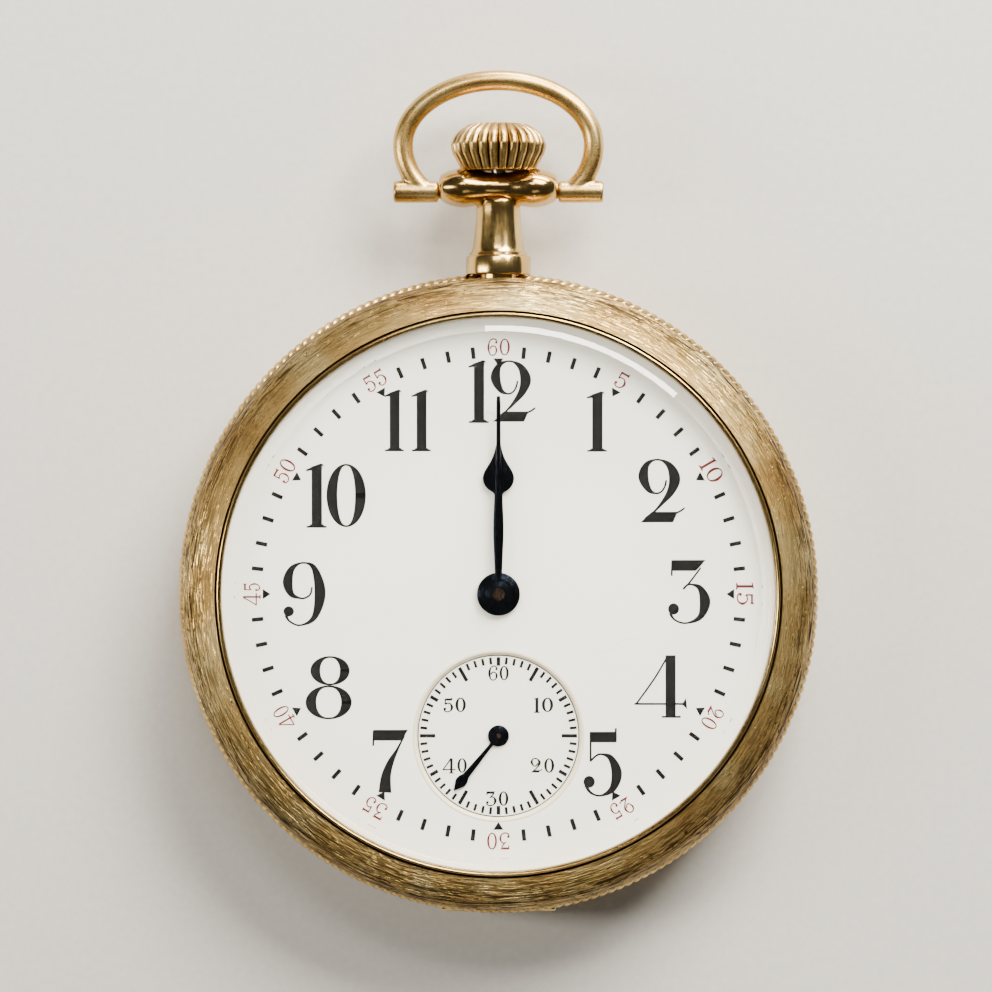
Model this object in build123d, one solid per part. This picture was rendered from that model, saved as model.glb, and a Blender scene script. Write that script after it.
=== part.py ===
"""Open face pocket watch, 16 size, stem wound, with its movement.

The origin is on the dial axis, on the flat of the back. +Z points out of the dial, +Y to twelve
o'clock, where the pendant is, and +X to three o'clock. All sizes are in millimetres.
"""

import os
from math import asin, atan2, cos, degrees, hypot, pi, radians, sin, sqrt, tau

from build123d import *

# ---- Driving sizes: the movement ---------------------------------------------------------------
plate_radius = 21.59  # a 16 size movement is 1.700 inches across the dial
plate_body_radius = 20.4
plate_body = 1.0
flange = 1.2
pillar_height = 2.85  # clear height between the bridges and the main plate
bridge_thickness = 0.8
bridge_radius = 19.6
motion_floor = 1.2  # metal left under the motion work
running_fit = 0.05  # radial clearance of a hinge, a bush or a sliding piece
pivot_fit = 0.02  # radial clearance of a pivot in its jewel
gap = 0.1  # air between two moving pieces, one above the other
pivot_radius = 0.12
jewel_radius = 0.45
jewel_thickness = 0.5
arbor_radius = 0.28
foot_radius = 1.3
screw_radius = 0.5
screw_head_radius = 1.0
screw_head = 0.4
wheel_rim = 0.47  # metal between a wheel's teeth and its crossings
stud_radius = 0.4  # studs of the click and of the motion work's wheels
stud_height = 0.7
wheel_screw_radius = 0.4
wheel_screw_head_radius = 1.6
wheel_screw_depth = 1.6
wheel_screw_proud = 0.23  # the heads stand this far out of the winding wheels
case_screw_radius = 0.6
case_screw_head_radius = 1.3
case_screw_head = 0.5
case_screw_inset = 0.8
case_screw_bearings = (30, 190)

# ---- Driving sizes: the case -------------------------------------------------------------------
cover_wall = 0.5
cover_height = 3.8
cover_flat_radius = 15.0
cover_rim_wall = 1.15
plate_fit = 0.06
dial_margin = 0.42  # how far the bezel's lip covers the dial's edge
dial_overhang = 0.26  # the dial is this much larger than the plate
dial_thickness = 0.9
neck_wall = 1.2
neck_height = 0.8
bezel_wall = 1.3
bezel_height = 2.8
rope_depth = 0.7
rope_height = 1.6
ledge_clearance = 0.2
band_step = 0.25  # the band stands this far inside the bezel's edge
crystal_edge = 0.65
crystal_seat = 0.29  # how deep the crystal sits in the bezel's groove
crystal_bevel_width = 1.0
crystal_bevel_height = 0.85
crystal_crown = 1.1  # rise of the domed glass inside its bevel
crystal_thickness = 1.0
hinge_knuckle_radius = 0.5
hinge_pin_radius = 0.22
hinge_length = 9.0
hinge_middle = 3.6
bezel_ease = 0.3  # free space between the bezel's edge and the pendant

# ---- Driving sizes: pendant, bow and crown -----------------------------------------------------
pendant_base_radius = 2.55
pendant_base_height = 1.75
neck_base_radius = 2.1
neck_top_radius = 1.72
pendant_height = 6.8  # band to the axis of the bone-shaped head
shank_radius = 1.5
head_half_length = 4.62
head_lobe_offset = 2.75
head_lobe_radius = 1.545
head_waist_radius = 1.15
head_end_radius = 1.0
head_depth = 1.5  # the head is this much deeper, front to back, than it is tall
sleeve_radius = 1.15
sleeve_wall = 0.4
stem_radius = 0.6
crown_radius = 3.74
crown_height = 3.7
crown_flutes = 26
crown_flute_depth = 0.28
crown_throat = 0.17  # least space between the crown and the pendant's head
crown_travel = 0.8
bow_wire_radius = 0.8
bow_half_width = 7.45  # to the middle of the wire
bow_rise = 5.05
bow_shoulder = 3.65  # height of the widest point above the bow's pivots
bow_leg_radius = 4.525
bow_bar_radius = 0.86
bow_bar_reach = 8.2
bow_pin_radius = 0.5
bow_pin_depth = 1.0
bow_pivot_drop = 0.3  # the bow's pivots are this far below the head's axis

# ---- Driving sizes: the trains -----------------------------------------------------------------
barrel_distance = 9.6
barrel_bearing = radians(140)
barrel_teeth = 84
barrel_module = 0.2
barrel_drum_radius = 8.0
barrel_wall = 0.5
barrel_cover_thickness = 0.25
barrel_shaft_radius = 0.8
barrel_core_radius = 2.0
mainspring_pitch = 0.62
mainspring_half_turns = 16
mainspring_thickness = 0.18
center_shaft_radius = 0.5
center_arbor_radius = 0.3
center_leaves = 12
center_teeth = 80
third_leaves = 10
third_module = 0.13
third_at = (-0.945, -5.77)
third_teeth = 75
fourth_leaves = 10
fourth_module = 0.125
fourth_at = (0.0, -11.0)
fourth_teeth = 80
escape_leaves = 8
escape_module = 0.1
escape_at = (4.33, -10.24)
escape_wheel_teeth = 15
escape_radius = 2.8
pallet_at = (6.64, -7.98)
balance_at = (9.8, -4.9)
balance_radius = 7.4
balance_rim_width = 0.7
balance_rim_height = 0.7
balance_screw_count = 14
balance_screw_radius = 0.25
balance_screw_head = 0.6
impulse_distance = 1.6  # from the balance's axis to the impulse jewel
impulse_radius = 0.12
roller_margin = 0.3
staff_radius = 0.35
staff_hub_radius = 0.6
staff_neck_radius = 0.25
balance_arm_bearing = radians(35)
fork_width = 0.42
pallet_arbor_radius = 0.2
stone_length = 0.62
stone_width = 0.28
stone_clearance = 0.04  # the stones stand this far off the escape wheel's tips
stone_spread = radians(30)
hairspring_radius = 0.75
hairspring_pitch = 0.22
hairspring_half_turns = 18
hairspring_thickness = 0.06
cannon_teeth = 12
minute_wheel_teeth = 36
motion_module = 0.14
minute_leaves = 10
hour_wheel_teeth = 40
setting_teeth = 30
intermediate_teeth = 40
winding_leaves = 12
winding_module = 0.2
face_teeth = 32
face_half_width = 0.3
crown_wheel_hub_radius = 1.2
crown_wheel_collar_radius = 1.8
crown_wheel_web = 0.45
lever_boss_radius = 0.7
lever_stud_radius = 0.3
regulator_hub_radius = 0.75
regulator_ring_radius = 1.25
regulator_reach = 7.0
cock_width = 4.2
cock_foot_radius = 1.9
crown_wheel_distance = 12.15  # from the barrel's axis to the crown wheel's
crown_wheel_teeth = 24
ratchet_teeth = 60
winding_wheel = 0.35  # thickness of ratchet and crown wheel

# ---- Driving sizes: the dial and the hands -----------------------------------------------------
seconds_dial_radius = 6.5
seconds_dial_thickness = 0.65
dial_hole_radius = 1.15
dial_foot_radius = 0.45
dial_foot_length = 0.8
dial_foot_inset = 1.85
dial_foot_bearings = (20, 140, 265)
seconds_arbor_radius = 0.2
cannon_pipe_radius = 0.65
hour_pipe_radius = 1.0
motion_wheel = 0.25  # thickness of the motion work's wheels
seconds_hub_radius = 0.825
seconds_hole_radius = 0.35
seconds_hand_bearing = 219.3  # degrees clockwise from twelve
seconds_hand_length = 5.47
minute_hand_length = 15.3
hour_hand_length = 11.8
hour_hub_radius = 1.675
minute_hub_radius = 1.04
post_radius = 0.485
hand_thickness = 0.18

# ---- Levels, from the back to the dial ---------------------------------------------------------
winding_low = cover_wall + 0.45
winding_high = winding_low + winding_wheel
bridge_low = winding_high + running_fit
bridge_high = bridge_low + bridge_thickness
center_low = bridge_high + gap
center_high = center_low + 0.2
barrel_low = center_high + 0.15
plate_low = bridge_high + pillar_height
barrel_high = plate_low - 0.15
barrel_rim_low = barrel_high - 0.4
balance_low = barrel_low + 0.05
balance_high = balance_low + balance_rim_height
pallet_bridge_low = balance_high + gap
pallet_bridge_high = pallet_bridge_low + 0.3
third_low = balance_high + 0.15
third_high = third_low + 0.15
escape_low = pallet_bridge_high + 0.15
escape_high = escape_low + 0.18
fourth_low = escape_high + 0.22
fourth_high = fourth_low + 0.15
flange_low = plate_low + plate_body
dial_low = flange_low + flange
dial_high = dial_low + dial_thickness
motion_low = plate_low + motion_floor
stem_level = plate_low + motion_floor / 2
seconds_dial_high = dial_low + seconds_dial_thickness
seconds_hand_low = seconds_dial_high + 0.15
hour_hand_low = dial_high + 0.35
minute_hand_low = hour_hand_low + 0.5

# ---- Radii of the case, from the movement outward ----------------------------------------------
band_bore = plate_radius + plate_fit
ledge_radius = plate_body_radius + ledge_clearance
dial_radius = plate_radius + dial_overhang
dial_bore = dial_radius + 0.15
neck_radius = dial_bore + neck_wall
rim_bore = neck_radius + running_fit
cover_radius = rim_bore + cover_rim_wall
bezel_radius = rim_bore + bezel_wall
band_radius = bezel_radius - band_step
case_radius = band_radius + rope_depth
opening_radius = dial_radius - dial_margin
crystal_radius = opening_radius + crystal_seat
neck_high = dial_high + 0.2
band_high = neck_high - neck_height
band_low = cover_height
neck_low = band_low - neck_height
bezel_high = band_high + bezel_height
crystal_low = neck_high + 0.75

# ---- Places along the pendant ------------------------------------------------------------------
pendant_start = bezel_radius + bezel_ease
neck_start = pendant_start + pendant_base_height
head_axis = pendant_start + pendant_height
bow_axis = head_axis - bow_pivot_drop
crown_low = head_axis + head_waist_radius + crown_throat
stem_end = crown_low + crown_height * 0.7
hinge_y = -(cover_radius + running_fit)
hinge_z = cover_height + 0.1

# ---- Places in the movement --------------------------------------------------------------------
barrel_at = (barrel_distance * cos(barrel_bearing), barrel_distance * sin(barrel_bearing))
crown_wheel_at = (0.0, barrel_at[1] + sqrt(crown_wheel_distance**2 - barrel_at[0] ** 2))
winding_wheel_module = 2 * crown_wheel_distance / (crown_wheel_teeth + ratchet_teeth)
face_radius = winding_module * face_teeth / 2
winding_pinion_y = crown_wheel_at[1] + face_radius
winding_pinion_width = 0.9
minute_wheel_at = (0.0, motion_module * (cannon_teeth + minute_wheel_teeth) / 2)
setting_at = (0.0, minute_wheel_at[1] + motion_module * (minute_wheel_teeth + setting_teeth) / 2)
intermediate_at = (0.0, setting_at[1] + motion_module * (setting_teeth + intermediate_teeth) / 2)
hour_module = 2 * minute_wheel_at[1] / (minute_leaves + hour_wheel_teeth)
clutch_radius = 1.1
clutch_travel = 0.45
clutch_low = intermediate_at[1] + motion_module * (intermediate_teeth / 2 + 1) + clutch_travel + 0.1
clutch_high = winding_pinion_y - winding_pinion_width / 2 - running_fit
lever_groove_y = winding_pinion_y + winding_pinion_width / 2 + 0.45
lever_at = (3.6, lever_groove_y)
yoke_at = (4.2, (clutch_low + clutch_high) / 2)
regulator_unit = (0.351, 0.936)  # from the balance cock's foot towards the balance
cock_foot_at = (5.0, -17.7)
stud_distance = 2.98
click_at = (2.6, 9.4)

barrel_bridge_feet = ((-17.9, 1.6), (-6.74, 16.7), (16.9, 6.2), (9.0, 15.6))
train_bridge_feet = ((-15.5, -9.5), (-5.5, -17.2), (-9.0, -5.2))
pallet_bridge_feet = ((5.9, -14.5), (10.4, -10.6))
nodes = {}


# ---- Small tools -------------------------------------------------------------------------------
def disc(radius, low, high, at=(0, 0)):
    """A round plate between two levels."""
    return Pos(at[0], at[1], (low + high) / 2) * Cylinder(radius, high - low)


def tube(outer, inner, low, high, at=(0, 0)):
    """A round plate with a round hole."""
    return disc(outer, low, high, at) - disc(inner, low, high, at)


def bar(start, end, width, low, high):
    """A flat bar with round ends from one point to another."""
    length = hypot(end[0] - start[0], end[1] - start[1])
    turn = degrees(atan2(end[1] - start[1], end[0] - start[0]))
    middle = ((start[0] + end[0]) / 2, (start[1] + end[1]) / 2)
    outline = SlotCenterToCenter(length, width)
    return Pos(middle[0], middle[1], low) * Rot(0, 0, turn) * extrude(outline, high - low)


def box_between(low_corner, high_corner):
    """A block given by two opposite corners."""
    sizes = [b - a for a, b in zip(low_corner, high_corner)]
    middle = [(a + b) / 2 for a, b in zip(low_corner, high_corner)]
    return Pos(*middle) * Box(*sizes)


def along_y(radius, start, end, x=0.0, z=stem_level):
    """A round bar along Y."""
    return Pos(x, (start + end) / 2, z) * Rot(90, 0, 0) * Cylinder(radius, end - start)


def along_x(radius, start, end, y, z=stem_level):
    """A round bar along X."""
    return Pos((start + end) / 2, y, z) * Rot(0, 90, 0) * Cylinder(radius, end - start)


def turned(edges):
    """A solid turned about the dial axis from a closed outline in the XZ plane."""
    return revolve(make_face(edges), Axis.Z)


def outline(*points):
    """Straight edges through points in the XZ plane, as (radius, level)."""
    return Polyline(*[(r, 0, z) for r, z in points])


def arc(*points):
    """An arc through three points in the XZ plane."""
    return ThreePointArc(*[(r, 0, z) for r, z in points])


def dome(radius, low, high):
    """An arc centred on the dial axis, from its top out to a radius."""
    rise = high - low
    sphere = (radius**2 + rise**2) / (2 * rise)
    half = asin(radius / sphere) / 2
    return arc((0, high), (sphere * sin(half), high - sphere * (1 - cos(half))), (radius, low))


def polar(radius, bearing, at=(0, 0)):
    """A point at a bearing, in radians from +X, about a centre."""
    return (at[0] + radius * cos(bearing), at[1] + radius * sin(bearing))


def bearing_of(start, end):
    """The direction from one point to another, in radians."""
    return atan2(end[1] - start[1], end[0] - start[0])


def meshed(phase, driver_teeth, teeth, direction):
    """Phase of a wheel in mesh with a driver, given the bearing from the driver to the wheel."""
    offset = (phase - direction) % (tau / driver_teeth)
    return direction + pi + pi / teeth - offset * driver_teeth / teeth


def toothed(teeth, module, phase, low, high, at=(0, 0), pinion=False):
    """A toothed disc. A pinion has slender leaves, and a wheel has short teeth."""
    pitch_radius = module * teeth / 2
    tip = pitch_radius + module * (0.7 if pinion else 0.95)
    root = pitch_radius - module * (1.25 if pinion else 1.0)
    root_half = tau / teeth * (0.22 if pinion else 0.28)
    tip_half = tau / teeth * (0.12 if pinion else 0.11)
    points = []
    for tooth in range(teeth):
        middle = phase + tau * tooth / teeth
        points.append(polar(root, middle - root_half))
        points.append(polar(tip, middle - tip_half))
        points.append(polar(tip, middle + tip_half))
        points.append(polar(root, middle + root_half))
    face = make_face(Polyline(*points, close=True))
    return Pos(at[0], at[1], low) * extrude(face, high - low)


def rim_bore_of(teeth, module):
    """Radius inside a wheel's rim."""
    return module * (teeth / 2 - 1) - wheel_rim


def crossed(wheel, rim_inner, hub, arm_width, low, high, at):
    """Opens a toothed disc into a rim, a hub and five arms."""
    spokes = disc(hub, low, high, at)
    arms = 5
    for arm in range(arms):
        spokes += bar(at, polar(rim_inner + 0.1, tau * arm / arms + 0.3, at), arm_width, low, high)
    opened = wheel - disc(rim_inner, low, high, at)
    return opened + (spokes & disc(rim_inner, low, high, at))


def spiral(inner_radius, pitch, half_turns, thickness, low, high, at):
    """A flat spring of half circles about two centres half a pitch apart."""
    edges = []
    for side in (-thickness / 2, thickness / 2):
        for half in range(half_turns):
            odd = half % 2
            center = (pitch / 2 * odd, 0)
            radius = inner_radius + half * pitch / 2 + side
            edges.append(CenterArc(center, radius, 180 * odd, 180))
    last_odd = (half_turns - 1) % 2
    end_x = pitch / 2 * last_odd + (inner_radius + (half_turns - 1) * pitch / 2) * (1 if last_odd else -1)
    edges.append(Line((inner_radius - thickness / 2, 0), (inner_radius + thickness / 2, 0)))
    edges.append(Line((end_x - thickness / 2, 0), (end_x + thickness / 2, 0)))
    return Pos(at[0], at[1], low) * extrude(make_face(edges), high - low)


def pivoted(at, low, high, top_pivot=True):
    """An arbor between the bridges and the main plate, with its pivots."""
    body = disc(arbor_radius, low, high, at)
    body += disc(pivot_radius, low - bridge_thickness * 0.7, low, at)
    if top_pivot:
        body += disc(pivot_radius, high, high + jewel_thickness, at)
    return body


def screw(at, top, tip, radius=screw_radius, head_radius=screw_head_radius, head=screw_head):
    """A slotted screw whose head is towards the back."""
    body = disc(head_radius, top, top + head, at) + disc(radius, top + head, tip, at)
    slot_width = head_radius * 0.25
    slot = Pos(at[0], at[1], top) * Box(head_radius * 3, slot_width, head * 0.8)
    return body - slot


def keep(name, *solids):
    """Adds solids to a node."""
    nodes.setdefault(name, []).extend(solids)


# ---- The case ----------------------------------------------------------------------------------
def case_center():
    """The band between the back cover and the bezel, with the rope-milled edge as a plain bead."""
    rope_low = stem_level - rope_height / 2
    rope_high = stem_level + rope_height / 2
    edges = [
        outline((band_radius, rope_low), (band_radius, band_low), (neck_radius, band_low)),
        outline((neck_radius, band_low), (neck_radius, neck_low), (ledge_radius, neck_low)),
        outline((ledge_radius, neck_low), (ledge_radius, flange_low), (band_bore, flange_low)),
        outline((band_bore, flange_low), (band_bore, dial_low), (dial_bore, dial_low)),
        outline((dial_bore, dial_low), (dial_bore, neck_high), (neck_radius, neck_high)),
        outline((neck_radius, neck_high), (neck_radius, band_high), (band_radius, band_high)),
        outline((band_radius, band_high), (band_radius, rope_high)),
        arc((band_radius, rope_high), (case_radius, stem_level), (band_radius, rope_low)),
    ]
    band = turned(edges)
    band -= along_y(shank_radius, ledge_radius - 1, case_radius + 1)
    band -= along_y(pendant_base_radius, pendant_start, case_radius + 1)
    knuckles = hinge_barrel(hinge_knuckle_radius, hinge_length) & box_between(
        (-hinge_length, hinge_y - 2, 0), (hinge_length, hinge_y + 2, hinge_z + 2)
    )
    band -= hinge_barrel(hinge_knuckle_radius + running_fit * 2, hinge_middle + running_fit * 2)
    knuckles -= hinge_barrel(hinge_knuckle_radius + 1, hinge_middle + running_fit * 2)
    web = box_between(
        (-hinge_length / 2, hinge_y, band_low), (hinge_length / 2, hinge_y + 1.2, hinge_z + 0.6)
    )
    web -= hinge_barrel(hinge_knuckle_radius + 1.5, hinge_middle + running_fit * 2)
    band += knuckles + (web - disc(neck_radius + running_fit, band_low, band_low + 1))
    band -= hinge_barrel(hinge_pin_radius, hinge_length)
    for bearing in case_screw_bearings:
        band -= disc(case_screw_head_radius, neck_low - 1, neck_low, case_screw_place(bearing))
    keep("case_center", band)


def hinge_barrel(radius, length):
    """A round bar along the back cover's hinge."""
    return along_x(radius, -length / 2, length / 2, hinge_y, hinge_z)


def back_cover():
    """A pressed shell: flat in the middle, an elliptical shoulder, and a rim that snaps on the band."""
    shell = turned(quarter_shell(cover_radius, cover_height))
    shell -= turned(quarter_shell(cover_radius - cover_wall, cover_height - cover_wall)) & disc(
        rim_bore, 0, cover_height
    )
    shell -= disc(rim_bore, neck_low - gap, cover_height)
    knuckle = hinge_barrel(hinge_knuckle_radius, hinge_middle)
    outer_knuckles = hinge_barrel(hinge_knuckle_radius + running_fit * 2, hinge_length + 0.4)
    outer_knuckles -= hinge_barrel(hinge_knuckle_radius + 1, hinge_middle)
    shell -= outer_knuckles
    leaf = box_between((-hinge_middle / 2, hinge_y, hinge_z - hinge_knuckle_radius),
                       (hinge_middle / 2, -rim_bore - 0.2, cover_height))
    shell += knuckle + (leaf - disc(rim_bore, 0, cover_height))
    shell -= hinge_barrel(hinge_pin_radius + running_fit, hinge_length)
    lip_at = polar(cover_radius - 0.9, radians(60))
    lip = disc(1.4, cover_height - 0.6, cover_height, lip_at)
    shell += lip - disc(rim_bore, 0, cover_height)
    keep("back_cover", shell)


def quarter_shell(radius, height):
    """Half section of a dish with a flat bottom, from the axis out to its rim."""
    shoulder = EllipticalCenterArc(
        (cover_flat_radius, cover_height), radius - cover_flat_radius, height, 270, arc_size=90
    )
    flat = cover_height - height
    return [
        Plane.XZ * shoulder,
        outline((radius, cover_height), (0, cover_height), (0, flat), (cover_flat_radius, flat)),
    ]


def hinge_pin():
    """The pin through the five-part hinge of the back cover."""
    keep("hinge_pin", hinge_barrel(hinge_pin_radius, hinge_length))


def bezel():
    """The ring that snaps over the band and holds the crystal in its groove."""
    lip_radius = opening_radius + 0.52
    shoulder_radius = bezel_radius - 0.65
    groove_high = crystal_low + crystal_edge + 0.05
    edges = [
        arc(
            (bezel_radius, band_high),
            (bezel_radius - 0.14, band_high + 0.9),
            (shoulder_radius, band_high + 1.6),
        ),
        arc(
            (shoulder_radius, band_high + 1.6),
            ((shoulder_radius + lip_radius) / 2, bezel_high - 0.55),
            (lip_radius, bezel_high - 0.2),
        ),
        arc(
            (lip_radius, bezel_high - 0.2),
            (opening_radius + 0.26, bezel_high),
            (opening_radius, bezel_high - 0.2),
        ),
        outline((opening_radius, bezel_high - 0.2), (opening_radius, groove_high)),
        outline((opening_radius, groove_high), (crystal_radius + running_fit, groove_high)),
        outline((crystal_radius + running_fit, groove_high), (crystal_radius + running_fit, crystal_low)),
        outline((crystal_radius + running_fit, crystal_low), (opening_radius, crystal_low)),
        outline((opening_radius, crystal_low), (opening_radius, neck_high + gap)),
        outline((opening_radius, neck_high + gap), (rim_bore, neck_high + gap)),
        outline((rim_bore, neck_high + gap), (rim_bore, band_high), (bezel_radius, band_high)),
    ]
    keep("bezel", turned(edges))


def crystal():
    """The domed glass, with a bevelled edge that snaps into the bezel."""
    edge_high = crystal_low + crystal_edge
    bevel_start = opening_radius - gap
    bevel_end = bevel_start - crystal_bevel_width
    bevel_high = edge_high + crystal_bevel_height
    dome_high = bevel_high + crystal_crown
    inner_edge = bevel_end + 0.3
    inner_high = dome_high - crystal_thickness
    edges = [
        outline((0, inner_high), (0, dome_high)),
        dome(bevel_end, bevel_high, dome_high),
        outline((bevel_end, bevel_high), (bevel_start, edge_high), (crystal_radius, edge_high)),
        outline((crystal_radius, edge_high), (crystal_radius, crystal_low), (inner_edge, crystal_low)),
        dome(inner_edge, crystal_low, inner_high),
    ]
    keep("crystal", turned(edges))


# ---- Pendant, bow and crown --------------------------------------------------------------------
def pendant_head():
    """The bone-shaped head, turned about the bow's line: a waist between two lobes."""
    profile = [
        (0, head_waist_radius),
        (head_lobe_offset, head_lobe_radius),
        (head_half_length - 0.35, head_end_radius + 0.12),
    ]
    half = Spline(*profile, tangents=((1, 0), (0.55, -0.85)))
    end = Polyline(
        profile[-1],
        (head_half_length, head_end_radius - 0.1),
        (head_half_length, 0),
        (0, 0),
        profile[0],
    )
    solid = revolve(make_face([half, end]), Axis.X)
    solid += mirror(solid, Plane.YZ)
    return Pos(0, head_axis, stem_level) * scale(solid, by=(1, 1, head_depth))


def pendant():
    """The neck with its base ring and its head, and the shank that is pressed into the band."""
    ring_high = neck_start - 0.25
    body = along_y(pendant_base_radius, pendant_start, ring_high)
    body += along_y(neck_base_radius + 0.15, ring_high, neck_start)
    cone = Pos(0, (neck_start + head_axis) / 2, stem_level) * Rot(-90, 0, 0) * Cone(
        neck_base_radius, neck_top_radius, head_axis - neck_start
    )
    body += cone + pendant_head()
    body += along_y(shank_radius, band_bore + running_fit, pendant_start)
    body -= along_y(stem_radius + 2 * running_fit, 0, head_axis + 5)
    body -= along_y(sleeve_radius, neck_start, head_axis + 5)
    for side in (-1, 1):
        ends = sorted((side * (head_half_length + 1), side * (head_half_length - bow_pin_depth - gap)))
        body -= along_x(bow_pin_radius + running_fit, *ends, bow_axis)
    keep("pendant", body)


def pendant_sleeve():
    """The split sleeve in the pendant, whose lip snaps into the stem's groove."""
    high = head_axis + head_waist_radius - 0.3
    sleeve = along_y(sleeve_radius, neck_start, high)
    sleeve -= along_y(sleeve_radius - sleeve_wall, neck_start - 1, high + 1)
    for turn in (0, 90):
        slit = Pos(0, neck_start + 1.5, stem_level) * Rot(0, turn, 0) * Box(3, 2.4, 0.2)
        sleeve -= slit & along_y(sleeve_radius + 1, neck_start + 0.4, neck_start + 2.4)
    keep("pendant_sleeve", sleeve)


def bow():
    """The wire ring, with a cross bar at each side whose pin enters the pendant's head."""
    widest = bow_axis + bow_shoulder
    top = EllipticalCenterArc((0, widest), bow_half_width, bow_rise, 0, arc_size=180)
    leg_turn = degrees(atan2(bow_shoulder, sqrt(bow_leg_radius**2 - bow_shoulder**2)))
    leg_x = bow_half_width - bow_leg_radius
    right = CenterArc((leg_x, widest), bow_leg_radius, -leg_turn, leg_turn)
    left = CenterArc((-leg_x, widest), bow_leg_radius, 180, leg_turn)
    path = Pos(0, 0, stem_level) * Wire([right, top, left])
    section = Plane(origin=path @ 0, z_dir=path % 0) * Circle(bow_wire_radius)
    ring = sweep(section, path=path)
    for side in (-1, 1):
        start, shoulder = side * (head_half_length + gap), side * bow_bar_reach
        tip = side * (head_half_length - bow_pin_depth)
        ring += along_x(bow_bar_radius, *sorted((start, shoulder)), bow_axis)
        ring += along_x(bow_pin_radius, *sorted((tip, start)), bow_axis)
    keep("bow", ring)


def crown():
    """The fluted crown: an onion shape whose flutes are scallops round its edge."""
    crown_high = crown_low + crown_height
    skirt = (crown_radius - 1, crown_low + 0.35)
    shoulder = (crown_radius * 0.62, crown_high)
    widest = (crown_radius, crown_low + crown_height * 0.48)
    flank = Spline(skirt, widest, shoulder, tangents=((0.9, 0.35), (-1, 0.35)))
    base = Polyline(shoulder, (0, crown_high), (0, crown_low), (stem_radius * 2, crown_low), skirt)
    body = Pos(0, 0, stem_level) * revolve(make_face([flank, base]), Axis.Y)
    scallops = []
    valley = crown_radius - crown_flute_depth
    for flute in range(crown_flutes):
        start = tau * flute / crown_flutes
        step = tau / crown_flutes
        scallops.append(
            ThreePointArc(
                polar(valley, start), polar(crown_radius, start + step / 2), polar(valley, start + step)
            )
        )
    star = Pos(0, crown_high + 1, stem_level) * Rot(90, 0, 0) * extrude(
        make_face(scallops), crown_height + 2
    )
    body &= star
    body -= along_y(stem_radius, crown_low - 1, stem_end)
    keep("crown", body)


# ---- Winding and setting -----------------------------------------------------------------------
def winding_stem():
    """The stem from the crown to the middle of the movement, with the setting lever's groove."""
    inner_end = intermediate_at[1] + 1.2
    stem = along_y(stem_radius, clutch_low - 0.2, stem_end)
    stem += along_y(stem_radius - 0.15, inner_end, clutch_low - 0.2)
    groove = along_y(stem_radius + 0.2, lever_groove_y - 0.31, lever_groove_y + 0.31)
    stem -= groove - along_y(stem_radius - 0.3, lever_groove_y - 1, lever_groove_y + 1)
    keep("winding_stem", stem)


def winding_pinion():
    """The pinion that turns the crown wheel, free on the stem."""
    low = winding_pinion_y - winding_pinion_width / 2
    gear = toothed(winding_leaves, winding_module, pi / 2, 0, winding_pinion_width, pinion=True)
    gear = Pos(0, low + winding_pinion_width, stem_level) * Rot(90, 0, 0) * gear
    gear -= along_y(stem_radius + running_fit, low - 1, low + 2)
    keep("winding_pinion", gear)


def clutch_wheel():
    """The sliding clutch: setting teeth at its inner end, and the yoke's groove."""
    body = along_y(clutch_radius, clutch_low, clutch_high)
    body -= along_y(stem_radius + running_fit, clutch_low - 1, clutch_high + 1)
    groove = along_y(clutch_radius + 0.2, yoke_at[1] - 0.22, yoke_at[1] + 0.22)
    body -= groove - along_y(clutch_radius - 0.3, clutch_low, clutch_high)
    for notch in range(winding_leaves // 2):
        tooth = Pos(0, clutch_low, stem_level) * Rot(0, 180 * notch / (winding_leaves // 2), 0)
        body -= tooth * Box(3, 0.5, 0.3)
    keep("clutch_wheel", body)


def setting_lever():
    """The lever whose pin holds the stem, turning on its own stud in the main plate."""
    low, high = motion_low + 0.1, motion_low + 0.4
    lever = bar(lever_at, (0, lever_groove_y), lever_boss_radius, low, high)
    lever += disc(lever_boss_radius, low, high, lever_at)
    lever += disc(0.25, stem_level + stem_radius - 0.22, low, (0, lever_groove_y))
    lever += disc(lever_stud_radius, stem_level - 0.2, low, lever_at)
    keep("setting_lever", lever)


def yoke():
    """The yoke that carries the clutch, turning on its own stud in the main plate."""
    low, high = motion_low + 0.6, motion_low + 0.85
    lever = bar(yoke_at, (0, yoke_at[1]), lever_boss_radius - 0.1, low, high)
    lever += disc(lever_boss_radius, low, high, yoke_at)
    lever += disc(0.15, stem_level + clutch_radius - 0.25, low, (0, yoke_at[1]))
    lever += disc(lever_stud_radius, stem_level - 0.2, low, yoke_at)
    keep("yoke", lever)


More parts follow.
